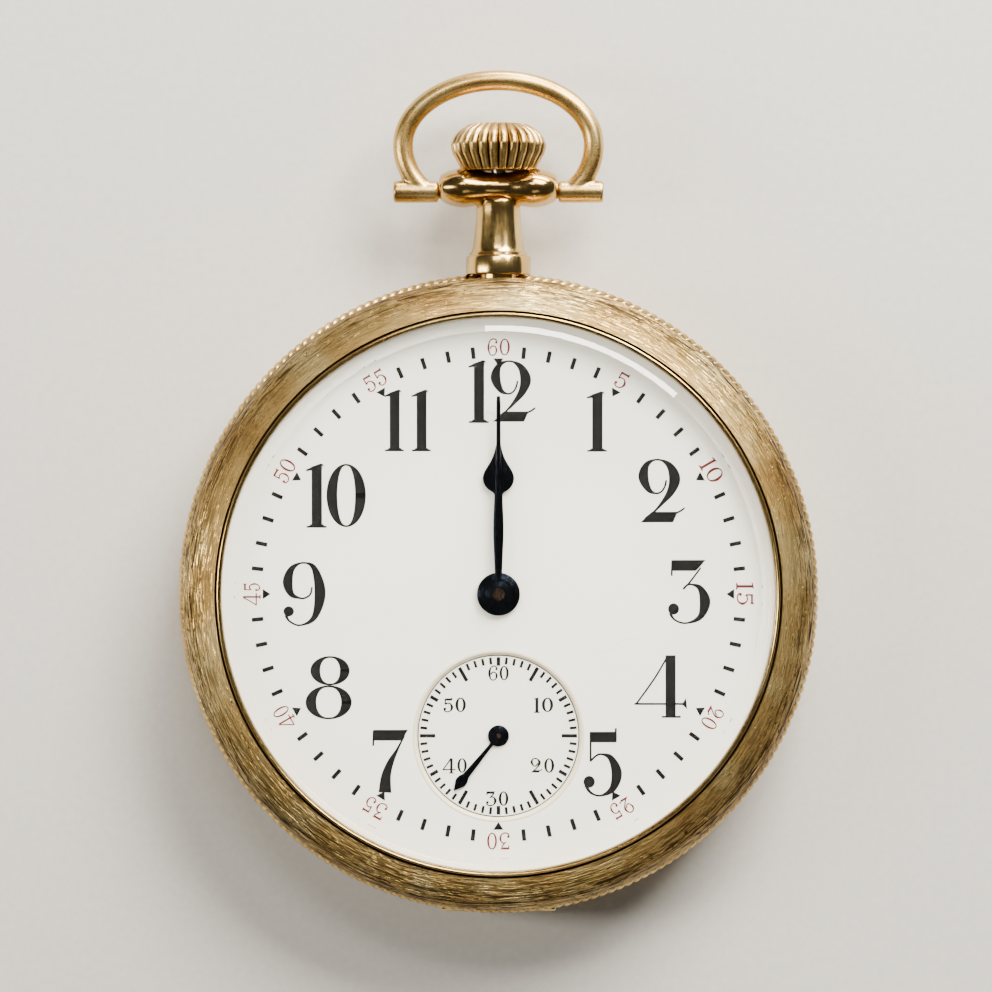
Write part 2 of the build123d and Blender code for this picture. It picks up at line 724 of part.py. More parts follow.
def crown_wheel():
    """The crown wheel on the bridge, and under it the face-toothed wheel that the pinion turns."""
    spur = toothed(
        crown_wheel_teeth, winding_wheel_module, crown_wheel_phase, winding_low, winding_high, crown_wheel_at
    )
    spur -= disc(crown_wheel_hub_radius, winding_low, winding_high, crown_wheel_at)
    face_high = stem_level - winding_module * (winding_leaves / 2 - 0.9)
    seat_high = stem_level - winding_module * (winding_leaves / 2 + 0.7) - gap
    web_low = seat_high - crown_wheel_web
    lower = disc(crown_wheel_hub_radius, winding_low, winding_high, crown_wheel_at)
    lower += disc(crown_wheel_collar_radius, winding_high, web_low, crown_wheel_at)
    lower += disc(face_radius + face_half_width, web_low, seat_high, crown_wheel_at)
    lower -= disc(wheel_screw_radius, winding_low, winding_low + wheel_screw_depth, crown_wheel_at)
    width = winding_module * pi * 0.4
    inner, outer = face_radius - face_half_width, face_radius + face_half_width - 0.02
    for tooth in range(face_teeth):
        turn = 90 + 180 / face_teeth + 360 * tooth / face_teeth
        ridge = box_between((inner, -width / 2, seat_high - 0.05), (outer, width / 2, face_high))
        lower += Pos(*crown_wheel_at, 0) * Rot(0, 0, turn) * ridge
    keep("crown_wheel", spur, lower)


def wheel_screws():
    """The screws that hold the crown wheel and the ratchet wheel."""
    top = winding_low - wheel_screw_proud
    tip = winding_low + wheel_screw_depth
    for name, at in (("crown_wheel_screw", crown_wheel_at), ("ratchet_screw", barrel_at)):
        keep(name, screw(at, top, tip, wheel_screw_radius, wheel_screw_head_radius, wheel_screw_proud))


def ratchet_wheel():
    """The ratchet wheel on the barrel arbor."""
    wheel = toothed(ratchet_teeth, winding_wheel_module, ratchet_phase, winding_low, winding_high, barrel_at)
    keep("ratchet_wheel", wheel - disc(barrel_shaft_radius, winding_low, winding_high, barrel_at))


def click():
    """The click, whose beak rests just on the ratchet's tips, its spring and its stud."""
    tip_radius = winding_wheel_module * (ratchet_teeth / 2 + 0.95)
    tip = polar(tip_radius - 0.06, radians(30), barrel_at)
    turn = bearing_of(click_at, tip)
    side = turn + pi / 2
    points = [
        tip,
        polar(0.75, side, click_at),
        polar(1.5, turn + pi, polar(0.3, side, click_at)),
        polar(1.5, turn + pi, polar(-0.3, side, click_at)),
        polar(-0.75, side, click_at),
    ]
    body = extrude(make_face(Polyline(*points, close=True)), winding_wheel)
    body = Pos(0, 0, winding_low) * body + disc(0.85, winding_low, winding_high, click_at)
    body -= disc(stud_radius + running_fit, winding_low, winding_high, click_at)
    keep("click", body)
    root = polar(6.0, turn + pi - 0.25, click_at)
    spring = bar(root, polar(1.6, turn + pi - 0.45, click_at), 0.16, winding_low + 0.05, bridge_low)
    keep("click_spring", spring + disc(0.7, winding_low + 0.05, bridge_low, root))


# ---- Power -------------------------------------------------------------------------------------
def barrel():
    """The toothed barrel, its cover, its arbor and the mainspring."""
    drum = toothed(barrel_teeth, barrel_module, barrel_phase, barrel_rim_low, barrel_high, barrel_at)
    drum += disc(barrel_drum_radius, barrel_low, barrel_rim_low, barrel_at)
    drum -= disc(barrel_drum_radius - barrel_wall, barrel_low, barrel_rim_low, barrel_at)
    drum -= disc(barrel_shaft_radius + running_fit, barrel_low, barrel_high, barrel_at)
    cover_seat = barrel_drum_radius - barrel_wall / 2
    cover_high = barrel_low + barrel_cover_thickness
    drum -= disc(cover_seat, barrel_low, cover_high, barrel_at)
    keep("barrel", drum)
    cover_bore = barrel_shaft_radius + running_fit
    keep("barrel_cover", tube(cover_seat, cover_bore, barrel_low, cover_high, barrel_at))
    core = disc(barrel_core_radius, cover_high + running_fit, barrel_rim_low - running_fit, barrel_at)
    core += disc(barrel_shaft_radius, winding_low, flange_low, barrel_at)
    core -= disc(wheel_screw_radius, winding_low, winding_low + wheel_screw_depth, barrel_at)
    keep("barrel_arbor", core)
    inner = barrel_drum_radius - barrel_wall - gap - mainspring_pitch * mainspring_half_turns / 2
    spring = spiral(
        inner,
        mainspring_pitch,
        mainspring_half_turns,
        mainspring_thickness,
        cover_high + gap,
        barrel_rim_low - gap,
        barrel_at,
    )
    keep("mainspring", spring)


# ---- Plates and bridges ------------------------------------------------------------------------
def main_plate():
    """The main plate: holes for every arbor, the motion work's recess and the stem's slot."""
    plate = disc(plate_body_radius, plate_low, flange_low) + disc(plate_radius, flange_low, dial_low)
    plate -= bar((0, 0), intermediate_at, 6.4, motion_low, dial_low)
    slot_y = (clutch_low - clutch_travel - gap, lever_groove_y - 0.35)
    plate -= box_between((-1.75, slot_y[0], plate_low), (1.75, slot_y[1], dial_low))
    keyless = box_between((-0.9, slot_y[0], motion_low + 0.05), (5.2, plate_radius, dial_low))
    plate -= keyless & disc(plate_radius - 0.35, motion_low, dial_low)
    plate -= along_y(stem_radius + running_fit, intermediate_at[1] + 1, plate_radius + 1)
    plate -= disc(post_radius, plate_low, dial_low)
    for at in (third_at, fourth_at, escape_at, pallet_at, balance_at):
        plate -= disc(jewel_radius, plate_low, dial_low, at)
    plate -= disc(barrel_shaft_radius + running_fit, plate_low, dial_low, barrel_at)
    for at in (lever_at, yoke_at):
        plate -= disc(lever_stud_radius + running_fit, stem_level - 0.3, dial_low, at)
    for at in (setting_at, intermediate_at, minute_wheel_at):
        plate += disc(stud_radius, motion_low, motion_low + stud_height, at)
    for at in barrel_bridge_feet + train_bridge_feet + pallet_bridge_feet + (cock_foot_at,):
        plate -= disc(screw_radius, plate_low, flange_low, at)
    for bearing in case_screw_bearings:
        at = case_screw_place(bearing)
        plate -= disc(case_screw_radius, plate_low, flange_low - 0.3, at)
    for bearing in dial_foot_bearings:
        at = polar(dial_radius - dial_foot_inset, radians(bearing))
        plate -= disc(dial_foot_radius, dial_low - dial_foot_length, dial_low, at)
    keep("main_plate", plate)


def case_screw_place(bearing):
    """Where a case screw stands."""
    return polar(plate_body_radius - case_screw_inset, radians(bearing))


def case_screw_notches():
    """Room beside the bridges for a screwdriver at each case screw."""
    notches = [
        disc(case_screw_head_radius + 0.3, bridge_low, bridge_high, case_screw_place(bearing))
        for bearing in case_screw_bearings
    ]
    return notches[0] + notches[1]


def bridge_from(flat, feet, low, high, foot=foot_radius):
    """A bridge with its feet on the main plate, drilled for its screws."""
    for at in feet:
        flat += disc(foot, high, plate_low, at)
    for at in feet:
        flat -= disc(screw_radius, low, plate_low, at) + disc(screw_head_radius, low, low + screw_head, at)
    return flat


def barrel_bridge():
    """The bridge over the barrel, the centre wheel and the crown wheel."""
    flat = disc(bridge_radius, bridge_low, bridge_high)
    flat &= box_between((-30, -2.4, bridge_low), (30, 30, bridge_high))
    flat -= disc(balance_radius + balance_screw_head + 0.5, bridge_low, bridge_high, balance_at)
    flat -= disc(crown_wheel_collar_radius + running_fit, bridge_low, bridge_high, crown_wheel_at)
    flat -= disc(barrel_shaft_radius + running_fit, bridge_low, bridge_high, barrel_at)
    flat -= disc(jewel_radius + 0.15, bridge_low, bridge_high)
    flat -= case_screw_notches()
    bridge = bridge_from(flat, barrel_bridge_feet, bridge_low, bridge_high)
    keep("barrel_bridge", bridge + disc(stud_radius, winding_low, bridge_low, click_at))


def train_bridge():
    """The bridge over the third and fourth wheels."""
    flat = disc(bridge_radius, bridge_low, bridge_high)
    flat &= box_between((-30, -30, bridge_low), (2.4, -3.0, bridge_high))
    flat -= disc(balance_radius + balance_screw_head + 0.5, bridge_low, bridge_high, balance_at)
    for at in (third_at, fourth_at):
        flat -= disc(jewel_radius, bridge_low, bridge_high, at)
    flat -= case_screw_notches()
    keep("train_bridge", bridge_from(flat, train_bridge_feet, bridge_low, bridge_high))


def pallet_bridge():
    """The small bridge between the balance and the escape wheel."""
    route = (pallet_bridge_feet[0], escape_at, pallet_at, pallet_bridge_feet[1])
    low, high = pallet_bridge_low, pallet_bridge_high
    flat = bar(route[0], route[1], 1.6, low, high)
    flat += bar(route[1], route[2], 1.6, low, high) + bar(route[2], route[3], 1.6, low, high)
    for at in pallet_bridge_feet:
        flat += disc(1.0, low, plate_low, at)
        flat -= disc(screw_radius, low, plate_low, at)
    for at in (escape_at, pallet_at):
        flat -= disc(jewel_radius, low, high, at)
    keep("pallet_bridge", flat)


def balance_cock():
    """The cock over the balance, with the lug for the hairspring's stud."""
    flat = bar(cock_foot_at, balance_at, cock_width, bridge_low, bridge_high)
    stud_bearing = atan2(regulator_unit[1], regulator_unit[0]) + radians(50)
    flat += bar(balance_at, polar(stud_distance, stud_bearing, balance_at), 0.9, bridge_low, bridge_high)
    flat -= disc(jewel_radius, bridge_low, bridge_high, balance_at)
    flat += tube(regulator_hub_radius, jewel_radius, bridge_low - 0.3, bridge_low, balance_at)
    keep("balance_cock", bridge_from(flat, (cock_foot_at,), bridge_low, bridge_high, cock_foot_radius))
    stud = disc(0.22, bridge_high, bridge_high + 0.35, polar(stud_distance, stud_bearing, balance_at))
    keep("hairspring_stud", stud)


def regulator():
    """The regulator on the balance cock, with its curb pins beside the hairspring."""
    low, high = bridge_low - 0.3, bridge_low - running_fit
    turn = atan2(regulator_unit[1], regulator_unit[0])
    bore = disc(regulator_hub_radius + running_fit, low, high, balance_at)
    start, end = (polar(reach, turn, balance_at) for reach in (regulator_hub_radius, regulator_reach))
    body = disc(regulator_ring_radius, low, high, balance_at) + bar(start, end, 0.5, low, high) - bore
    for side in (-1, 1):
        place = polar(hairspring_outer + 0.22 * side, turn, balance_at)
        body += disc(0.07, low, bridge_high + 0.25, place)
    keep("regulator", body)


def train_jewels():
    """The pierced jewels of the train, the escapement and the balance."""
    bridge_side = bridge_low + 0.15
    plate_side = plate_low + 0.15
    hole = pivot_radius + pivot_fit
    for at in (third_at, fourth_at, balance_at):
        keep("train_jewels", tube(jewel_radius, hole, bridge_side, bridge_side + jewel_thickness, at))
    for at in (third_at, escape_at, pallet_at, balance_at):
        keep("train_jewels", tube(jewel_radius, hole, plate_side, plate_side + jewel_thickness, at))
    seconds_hole = seconds_arbor_radius + pivot_fit
    center_hole = center_arbor_radius + pivot_fit
    keep(
        "train_jewels",
        tube(jewel_radius, seconds_hole, plate_side, plate_side + jewel_thickness, fourth_at),
        tube(jewel_radius + 0.15, center_hole, bridge_side, bridge_side + jewel_thickness),
    )
    for at in (escape_at, pallet_at):
        keep("train_jewels", tube(jewel_radius, hole, pallet_bridge_low, pallet_bridge_high, at))


def fixings():
    """The bridges' screws, and the two screws that hold the movement in the case."""
    for at in barrel_bridge_feet + train_bridge_feet + (cock_foot_at,):
        keep("bridge_screws", screw(at, bridge_low, flange_low))
    for at in pallet_bridge_feet:
        keep("bridge_screws", disc(screw_radius, pallet_bridge_low, flange_low, at))
    for bearing in case_screw_bearings:
        keep(
            "case_screws",
            screw(
                case_screw_place(bearing),
                neck_low - case_screw_head,
                flange_low - 0.3,
                case_screw_radius,
                case_screw_head_radius,
                case_screw_head,
            ),
        )


# ---- The going train ---------------------------------------------------------------------------
def going_train():
    """Centre, third, fourth and escape wheels on their pinions."""
    center = disc(center_shaft_radius, center_low - gap / 2, plate_low - running_fit)
    center += disc(center_arbor_radius, bridge_low + 0.1, center_low - gap / 2)
    leaves_low, leaves_high = barrel_rim_low - gap / 2, plate_low - gap / 2
    center += toothed(center_leaves, barrel_module, center_phase, leaves_low, leaves_high, pinion=True)
    center += disc(post_radius - running_fit, plate_low - running_fit, motion_low)
    center += disc(center_arbor_radius, motion_low, minute_hand_low + 0.5)
    keep("center_pinion", center)
    wheel = toothed(center_teeth, third_module, center_wheel_phase, center_low, center_high)
    wheel = crossed(wheel, rim_bore_of(center_teeth, third_module), 1.0, 0.5, center_low, center_high, (0, 0))
    keep("center_wheel", wheel - disc(center_shaft_radius, center_low, center_high))

    arbor_low, arbor_high = bridge_high + running_fit, plate_low - running_fit
    third = pivoted(third_at, arbor_low, arbor_high)
    third += toothed(third_leaves, third_module, third_phase, arbor_low, center_high + gap, third_at, True)
    keep("third_pinion", third)
    wheel = toothed(third_teeth, fourth_module, third_phase, third_low, third_high, third_at)
    rim_bore = rim_bore_of(third_teeth, fourth_module)
    wheel = crossed(wheel, rim_bore, 0.8, 0.45, third_low, third_high, third_at)
    keep("third_wheel", wheel - disc(arbor_radius, third_low, third_high, third_at))

    fourth = pivoted(fourth_at, arbor_low, arbor_high, top_pivot=False)
    fourth += disc(seconds_arbor_radius, arbor_high, seconds_hand_low + hand_thickness + 0.05, fourth_at)
    fourth += toothed(
        fourth_leaves, fourth_module, fourth_phase, third_low - gap / 2, third_high + gap / 2, fourth_at, True
    )
    keep("fourth_pinion", fourth)
    wheel = toothed(fourth_teeth, escape_module, fourth_phase, fourth_low, fourth_high, fourth_at)
    rim_bore = rim_bore_of(fourth_teeth, escape_module)
    wheel = crossed(wheel, rim_bore, 0.7, 0.4, fourth_low, fourth_high, fourth_at)
    keep("fourth_wheel", wheel - disc(arbor_radius, fourth_low, fourth_high, fourth_at))

    low = pallet_bridge_high + running_fit
    escape = disc(arbor_radius, low, arbor_high, escape_at)
    escape += disc(pivot_radius, low - 0.25, low, escape_at)
    escape += disc(pivot_radius, arbor_high, arbor_high + jewel_thickness, escape_at)
    escape += toothed(
        escape_leaves, escape_module, escape_phase, fourth_low - gap, fourth_high + gap, escape_at, True
    )
    keep("escape_pinion", escape)
    keep("escape_wheel", escape_wheel())


def escape_wheel():
    """The escape wheel, with fifteen club teeth."""
    points = []
    root = escape_radius - 0.65
    step = tau / escape_wheel_teeth
    for tooth in range(escape_wheel_teeth):
        middle = escape_tooth_phase + step * tooth
        points.append(polar(root, middle - step * 0.2))
        points.append(polar(escape_radius - 0.08, middle - step * 0.06))
        points.append(polar(escape_radius, middle + step * 0.06))
        points.append(polar(escape_radius - 0.22, middle + step * 0.08))
        points.append(polar(root, middle + step * 0.12))
    body = extrude(make_face(Polyline(*points, close=True)), escape_high - escape_low)
    body = Pos(*escape_at, escape_low) * body
    body = crossed(body, root - 0.3, 0.6, 0.3, escape_low, escape_high, escape_at)
    return body - disc(arbor_radius, escape_low, escape_high, escape_at)


# ---- The pallet fork ---------------------------------------------------------------------------
def pallet_fork():
    """The fork on its arbor, with the two pallet stones just clear of the escape wheel's tips."""
    low, high = escape_low, escape_high
    line = bearing_of(escape_at, pallet_at)
    to_balance = bearing_of(pallet_at, balance_at)
    fork_length = hypot(balance_at[0] - pallet_at[0], balance_at[1] - pallet_at[1])
    fork_length -= impulse_distance + impulse_radius + 0.05
    tip = polar(fork_length - 0.35, to_balance, pallet_at)
    fork = bar(pallet_at, tip, fork_width, low, high) + disc(0.55, low, high, pallet_at)
    fork += bar(polar(0.3, to_balance + pi / 2, tip), polar(0.3, to_balance - pi / 2, tip), 0.5, low, high)
    fork -= bar(tip, polar(2.0, to_balance, tip), impulse_radius * 2 + 0.1, low, high)
    fork &= disc(fork_length, low, high, pallet_at)
    fork -= disc(impulse_distance + impulse_radius + 0.05, low, high, balance_at)
    for side in (-1, 1):
        stone_line = line + side * stone_spread
        seat = polar(escape_radius + 0.7, stone_line, escape_at)
        stone_middle = polar(escape_radius + stone_clearance + stone_length / 2, stone_line, escape_at)
        stone = Pos(*stone_middle, (low + high) / 2) * Rot(0, 0, degrees(stone_line))
        stone *= Box(stone_length, stone_width, high - low)
        fork += bar(pallet_at, seat, fork_width, low, high) + disc(0.36, low, high, seat)
        fork -= stone
        keep("pallet_stones", stone)
    fork -= disc(pallet_arbor_radius, low, high, pallet_at)
    arbor = disc(pallet_arbor_radius, pallet_bridge_high + running_fit, plate_low - running_fit, pallet_at)
    arbor += disc(pivot_radius, pallet_bridge_low + 0.05, plate_low + jewel_thickness, pallet_at)
    keep("pallet_fork", fork, arbor)


# ---- The balance -------------------------------------------------------------------------------
def balance():
    """The cut balance with its screws, its staff, the roller and the hairspring."""
    low, high = balance_low, balance_high
    arms_low, arms_high = low + 0.15, low + 0.4
    inner = balance_radius - balance_rim_width
    wheel = tube(balance_radius, inner, low, high, balance_at)
    arm_turn = balance_arm_bearing
    ends = [polar(side * (inner + 0.1), arm_turn, balance_at) for side in (-1, 1)]
    wheel += bar(ends[0], ends[1], 1.0, arms_low, arms_high) + disc(1.1, arms_low, arms_high, balance_at)
    for side in (0, pi):
        place = polar(balance_radius - balance_rim_width / 2, arm_turn + side + 0.16, balance_at)
        cut = Pos(*place, (low + high) / 2) * Rot(0, 0, degrees(arm_turn + side + 0.16))
        wheel -= cut * Box(balance_rim_width * 2, 0.25, balance_rim_height * 2)
    for number in range(balance_screw_count):
        turn = arm_turn + tau * (number + 0.5) / balance_screw_count + 0.16
        head = Pos(*polar(balance_radius + 0.1, turn, balance_at), (low + high) / 2)
        head *= Rot(0, 0, degrees(turn)) * Rot(0, 90, 0)
        head *= Cylinder(balance_screw_radius, balance_screw_head + 0.4)
        wheel -= head
        keep("balance_screws", head)
    keep("balance_wheel", wheel - disc(staff_radius, low, high, balance_at))

    staff = disc(staff_radius, bridge_high + running_fit, pallet_bridge_high + 0.2, balance_at)
    staff += disc(staff_hub_radius, bridge_high + running_fit, arms_low, balance_at)
    staff += disc(staff_neck_radius, pallet_bridge_high + 0.2, plate_low - running_fit, balance_at)
    staff += disc(pivot_radius, bridge_low + 0.25, bridge_high + running_fit, balance_at)
    staff += disc(pivot_radius, plate_low - running_fit, plate_low + jewel_thickness, balance_at)
    keep("balance_staff", staff)

    roller_low, roller_high = pallet_bridge_low + 0.05, pallet_bridge_low + 0.23
    jewel_at = polar(impulse_distance, bearing_of(balance_at, pallet_at), balance_at)
    roller = tube(impulse_distance + roller_margin, staff_radius, roller_low, roller_high, balance_at)
    keep("roller_table", roller - disc(impulse_radius, roller_low, roller_high, jewel_at))
    keep("impulse_jewel", disc(impulse_radius, roller_low, escape_high + gap, jewel_at))
    keep(
        "hairspring",
        spiral(
            hairspring_radius,
            hairspring_pitch,
            hairspring_half_turns,
            hairspring_thickness,
            bridge_high + 0.15,
            bridge_high + 0.3,
            balance_at,
        ),
    )


# ---- Motion work, dial and hands ---------------------------------------------------------------
def motion_work():
    """Cannon pinion, minute wheel, hour wheel and the two setting wheels."""
    low = motion_low + gap
    high = low + motion_wheel
    pinion_high = high + 0.4
    cannon = toothed(cannon_teeth, motion_module, cannon_phase, low - gap / 2, high + gap, pinion=True)
    cannon += disc(cannon_pipe_radius, low, minute_hand_low)
    cannon += disc(post_radius, low, minute_hand_low + hand_thickness + 0.15)
    keep("cannon_pinion", cannon - disc(center_arbor_radius + running_fit, low - 1, minute_hand_low + 1))
    hour_low = pinion_high - motion_wheel
    hour = toothed(hour_wheel_teeth, hour_module, hour_phase, hour_low, pinion_high)
    hour += disc(hour_pipe_radius, pinion_high, hour_hand_low + hand_thickness)
    keep("hour_wheel", hour - disc(cannon_pipe_radius + running_fit, low, hour_hand_low + 1))
    at, phase = minute_wheel_at, minute_wheel_phase
    minute = toothed(minute_wheel_teeth, motion_module, phase, low, high, at)
    minute += toothed(minute_leaves, hour_module, phase, high, pinion_high, at, pinion=True)
    setting = toothed(setting_teeth, motion_module, setting_phase, low, high, setting_at)
    intermediate = toothed(intermediate_teeth, motion_module, intermediate_phase, low, high, intermediate_at)
    for name, wheel, at in (
        ("minute_wheel", minute, minute_wheel_at),
        ("setting_wheel", setting, setting_at),
        ("intermediate_wheel", intermediate, intermediate_at),
    ):
        keep(name, wheel - disc(stud_radius + running_fit, low, low + 1, at))


def dial():
    """The enamel dial with its three feet, and the sunk seconds dial let into it."""
    plate = tube(dial_radius, dial_hole_radius, dial_low, dial_high)
    plate -= disc(seconds_dial_radius, dial_low, dial_high, fourth_at)
    for bearing in dial_foot_bearings:
        at = polar(dial_radius - dial_foot_inset, radians(bearing))
        plate += disc(dial_foot_radius, dial_low - dial_foot_length, dial_low, at)
    keep("dial", plate)
    sunk = tube(seconds_dial_radius, seconds_hole_radius, dial_low, seconds_dial_high, fourth_at)
    keep("seconds_dial", sunk)


def hand(stations, low, thickness, hub, bore):
    """A hand pointing to twelve: half widths at distances from its axis, and a round hub."""
    right = [(width, distance) for distance, width in stations]
    left = [(-width, distance) for distance, width in reversed(stations)]
    blade = extrude(make_face(Polyline(*right, *left, close=True)), thickness)
    body = Pos(0, 0, low) * blade + disc(hub, low, low + thickness)
    return body - disc(bore, low, low + thickness)


def hands():
    """The spade hour hand, the long minute hand and the small seconds hand."""
    stem = ((1.0, 0.24), (7.4, 0.3))
    spade = ((7.87, 0.55), (8.4, 1.0), (9.05, 1.2), (9.7, 1.0), (10.6, 0.45), (hour_hand_length, 0.16))
    keep("hour_hand", hand(stem + spade, hour_hand_low, hand_thickness, hour_hub_radius, hour_pipe_radius))
    minute = ((0.5, 0.245), (5.2, 0.4), (7.9, 0.3), (12.0, 0.175), (minute_hand_length, 0.16))
    keep("minute_hand", hand(minute, minute_hand_low, hand_thickness, minute_hub_radius, post_radius))
    seconds = ((0.3, 0.14), (3.9, 0.24), (4.3, 0.42), (4.6, 0.44), (4.95, 0.3), (seconds_hand_length, 0.03))
    body = hand(seconds, seconds_hand_low, hand_thickness * 0.7, seconds_hub_radius, seconds_arbor_radius)
    keep("seconds_hand", Pos(*fourth_at, 0) * Rot(0, 0, -seconds_hand_bearing) * body)


# ---- How the wheels mesh -----------------------------------------------------------------------
hairspring_outer = hairspring_radius + (hairspring_half_turns - 1) * hairspring_pitch / 2
barrel_phase = 0.0
center_phase = meshed(barrel_phase, barrel_teeth, center_leaves, bearing_of(barrel_at, (0, 0)))
center_wheel_phase = 0.0
third_phase = meshed(center_wheel_phase, center_teeth, third_leaves, bearing_of((0, 0), third_at))
fourth_phase = meshed(third_phase, third_teeth, fourth_leaves, bearing_of(third_at, fourth_at))
escape_phase = meshed(fourth_phase, fourth_teeth, escape_leaves, bearing_of(fourth_at, escape_at))
escape_tooth_phase = bearing_of(escape_at, pallet_at)
crown_wheel_phase = 0.0
ratchet_phase = meshed(
    crown_wheel_phase, crown_wheel_teeth, ratchet_teeth, bearing_of(crown_wheel_at, barrel_at)
)
cannon_phase = 0.0
minute_wheel_phase = meshed(cannon_phase, cannon_teeth, minute_wheel_teeth, pi / 2)
hour_phase = meshed(minute_wheel_phase, minute_leaves, hour_wheel_teeth, -pi / 2)
setting_phase = meshed(minute_wheel_phase, minute_wheel_teeth, setting_teeth, pi / 2)
intermediate_phase = meshed(setting_phase, setting_teeth, intermediate_teeth, pi / 2)

# ---- Build -------------------------------------------------------------------------------------
for make in (
    case_center,
    back_cover,
    hinge_pin,
    bezel,
    crystal,
    pendant,
    pendant_sleeve,
    bow,
    crown,
    winding_stem,
    winding_pinion,
    clutch_wheel,
    setting_lever,
    yoke,
    crown_wheel,
    wheel_screws,
    ratchet_wheel,
    click,
    barrel,
    main_plate,
    barrel_bridge,
    train_bridge,
    pallet_bridge,
    balance_cock,
    regulator,
    train_jewels,
    fixings,
    going_train,
    pallet_fork,
    balance,
    motion_work,
    dial,
    hands,
):
    make()

os.makedirs("parts", exist_ok=True)
for name, pieces in nodes.items():
    solids = [solid for piece in pieces for solid in piece.solids()]
    export_step(Compound(children=solids), f"parts/{name}.step")
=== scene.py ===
"""Looks of the open face pocket watch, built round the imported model. Pieces are shaped in
millimetres and turned to metres as each mesh is made."""
from math import atan2, ceil, cos, hypot, pi, radians, sin, sqrt, tau

import bmesh
import bpy
from mathutils import Matrix, Vector, noise


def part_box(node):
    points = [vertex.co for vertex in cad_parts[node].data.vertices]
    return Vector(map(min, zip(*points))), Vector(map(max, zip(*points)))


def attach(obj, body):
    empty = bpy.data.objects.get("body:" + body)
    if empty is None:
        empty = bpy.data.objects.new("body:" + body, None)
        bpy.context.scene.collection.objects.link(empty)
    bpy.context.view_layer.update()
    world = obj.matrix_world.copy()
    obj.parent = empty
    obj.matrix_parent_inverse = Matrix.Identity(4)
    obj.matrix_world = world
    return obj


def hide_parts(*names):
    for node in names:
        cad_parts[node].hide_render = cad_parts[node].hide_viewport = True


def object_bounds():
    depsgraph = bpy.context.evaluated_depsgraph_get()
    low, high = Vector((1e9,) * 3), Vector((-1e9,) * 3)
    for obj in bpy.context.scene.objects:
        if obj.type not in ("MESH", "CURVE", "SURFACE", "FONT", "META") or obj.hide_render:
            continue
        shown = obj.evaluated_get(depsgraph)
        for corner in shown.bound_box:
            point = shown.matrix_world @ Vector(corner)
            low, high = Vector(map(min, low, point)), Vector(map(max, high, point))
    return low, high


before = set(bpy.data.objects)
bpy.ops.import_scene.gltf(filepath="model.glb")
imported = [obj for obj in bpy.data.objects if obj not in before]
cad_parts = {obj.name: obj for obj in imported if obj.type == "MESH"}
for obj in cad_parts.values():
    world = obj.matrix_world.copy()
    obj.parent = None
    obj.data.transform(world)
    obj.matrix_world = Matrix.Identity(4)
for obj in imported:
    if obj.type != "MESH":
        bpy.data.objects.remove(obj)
cad_low, cad_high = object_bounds()
MM = 0.001

# ---- Places read from the model, in millimetres ------------------------------------------------


def box_mm(node):
    """Lowest and highest corner of a node, in millimetres."""
    low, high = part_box(node)
    return low / MM, high / MM


band_box = box_mm("case_center")
bezel_box = box_mm("bezel")
crystal_box = box_mm("crystal")
dial_box = box_mm("dial")
seconds_box = box_mm("seconds_dial")
pendant_box = box_mm("pendant")
bow_box = box_mm("bow")
crown_box = box_mm("crown")
cover_box = box_mm("back_cover")
hour_hand_box = box_mm("hour_hand")
minute_hand_box = box_mm("minute_hand")
seconds_hand_box = box_mm("seconds_hand")

case_radius = band_box[1].x - 0.01
bezel_radius = bezel_box[1].x
bezel_low, bezel_high = bezel_box[0].z, bezel_box[1].z
crystal_radius = crystal_box[1].x
crystal_seat = 0.29
opening = crystal_radius - crystal_seat
dial_top = dial_box[1].z
seconds_at = (seconds_box[0] + seconds_box[1]) / 2
seconds_top = seconds_box[1].z
stem_level = (crown_box[0].z + crown_box[1].z) / 2
print_height = 0.012  # fired paint stands this proud of the enamel
print_sunk = 0.004  # and goes this far into it, so that no gap shows
stroke_step = 0.0004  # each stroke of a figure is this much higher than the last where they cross


# ---- Small tools -------------------------------------------------------------------------------
def place(obj_name, mesh, material, body, node=None):
    """Shows a finished mesh as a piece that moves with a body, in place of a node if one is named."""
    piece = bpy.data.objects.new(obj_name, mesh)
    bpy.context.scene.collection.objects.link(piece)
    mesh.materials.clear()
    mesh.materials.append(material)
    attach(piece, body)
    if node:
        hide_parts(node)
    return piece


def to_mesh(name, points, faces, sharp=35):
    """A mesh in metres from points in millimetres, smooth but for its sharp edges."""
    mesh = bpy.data.meshes.new(name)
    mesh.from_pydata([Vector(p) * MM for p in points], [], faces)
    work = bmesh.new()
    work.from_mesh(mesh)
    bmesh.ops.remove_doubles(work, verts=work.verts, dist=2e-7)
    bmesh.ops.dissolve_degenerate(work, edges=work.edges, dist=1e-7)
    bmesh.ops.recalc_face_normals(work, faces=work.faces)
    work.to_mesh(mesh)
    work.free()
    mesh.polygons.foreach_set("use_smooth", [True] * len(mesh.polygons))
    mesh.set_sharp_from_angle(angle=radians(sharp))
    return mesh


def about_z(radius, height, turn):
    """A point turned about the dial axis."""
    return (radius * cos(turn), radius * sin(turn), height)


def about_y(radius, height, turn):
    """A point turned about the stem's line, at the stem's level."""
    return (radius * sin(turn), height, stem_level + radius * cos(turn))


def turned(name, profile, steps, round_axis=about_z, closed=True, relief=None, sharp=35):
    """A turned solid. The profile is (radius, height), closed on itself or ending on the axis, and
    relief gives how far a point stands proud of its radius, from its turn and its profile place."""
    points = []
    for step in range(steps):
        turn = tau * step / steps
        for number, (radius, height) in enumerate(profile):
            rise = relief(turn, number) if relief else (0, 0)
            points.append(round_axis(radius + rise[0], height + rise[1], turn))
    count = len(profile)
    spans = count if closed else count - 1
    faces = []
    for step in range(steps):
        here, there = step * count, (step + 1) % steps * count
        for number in range(spans):
            after = (number + 1) % count
            faces.append((here + number, there + number, there + after, here + after))
    return to_mesh(name, points, faces, sharp)


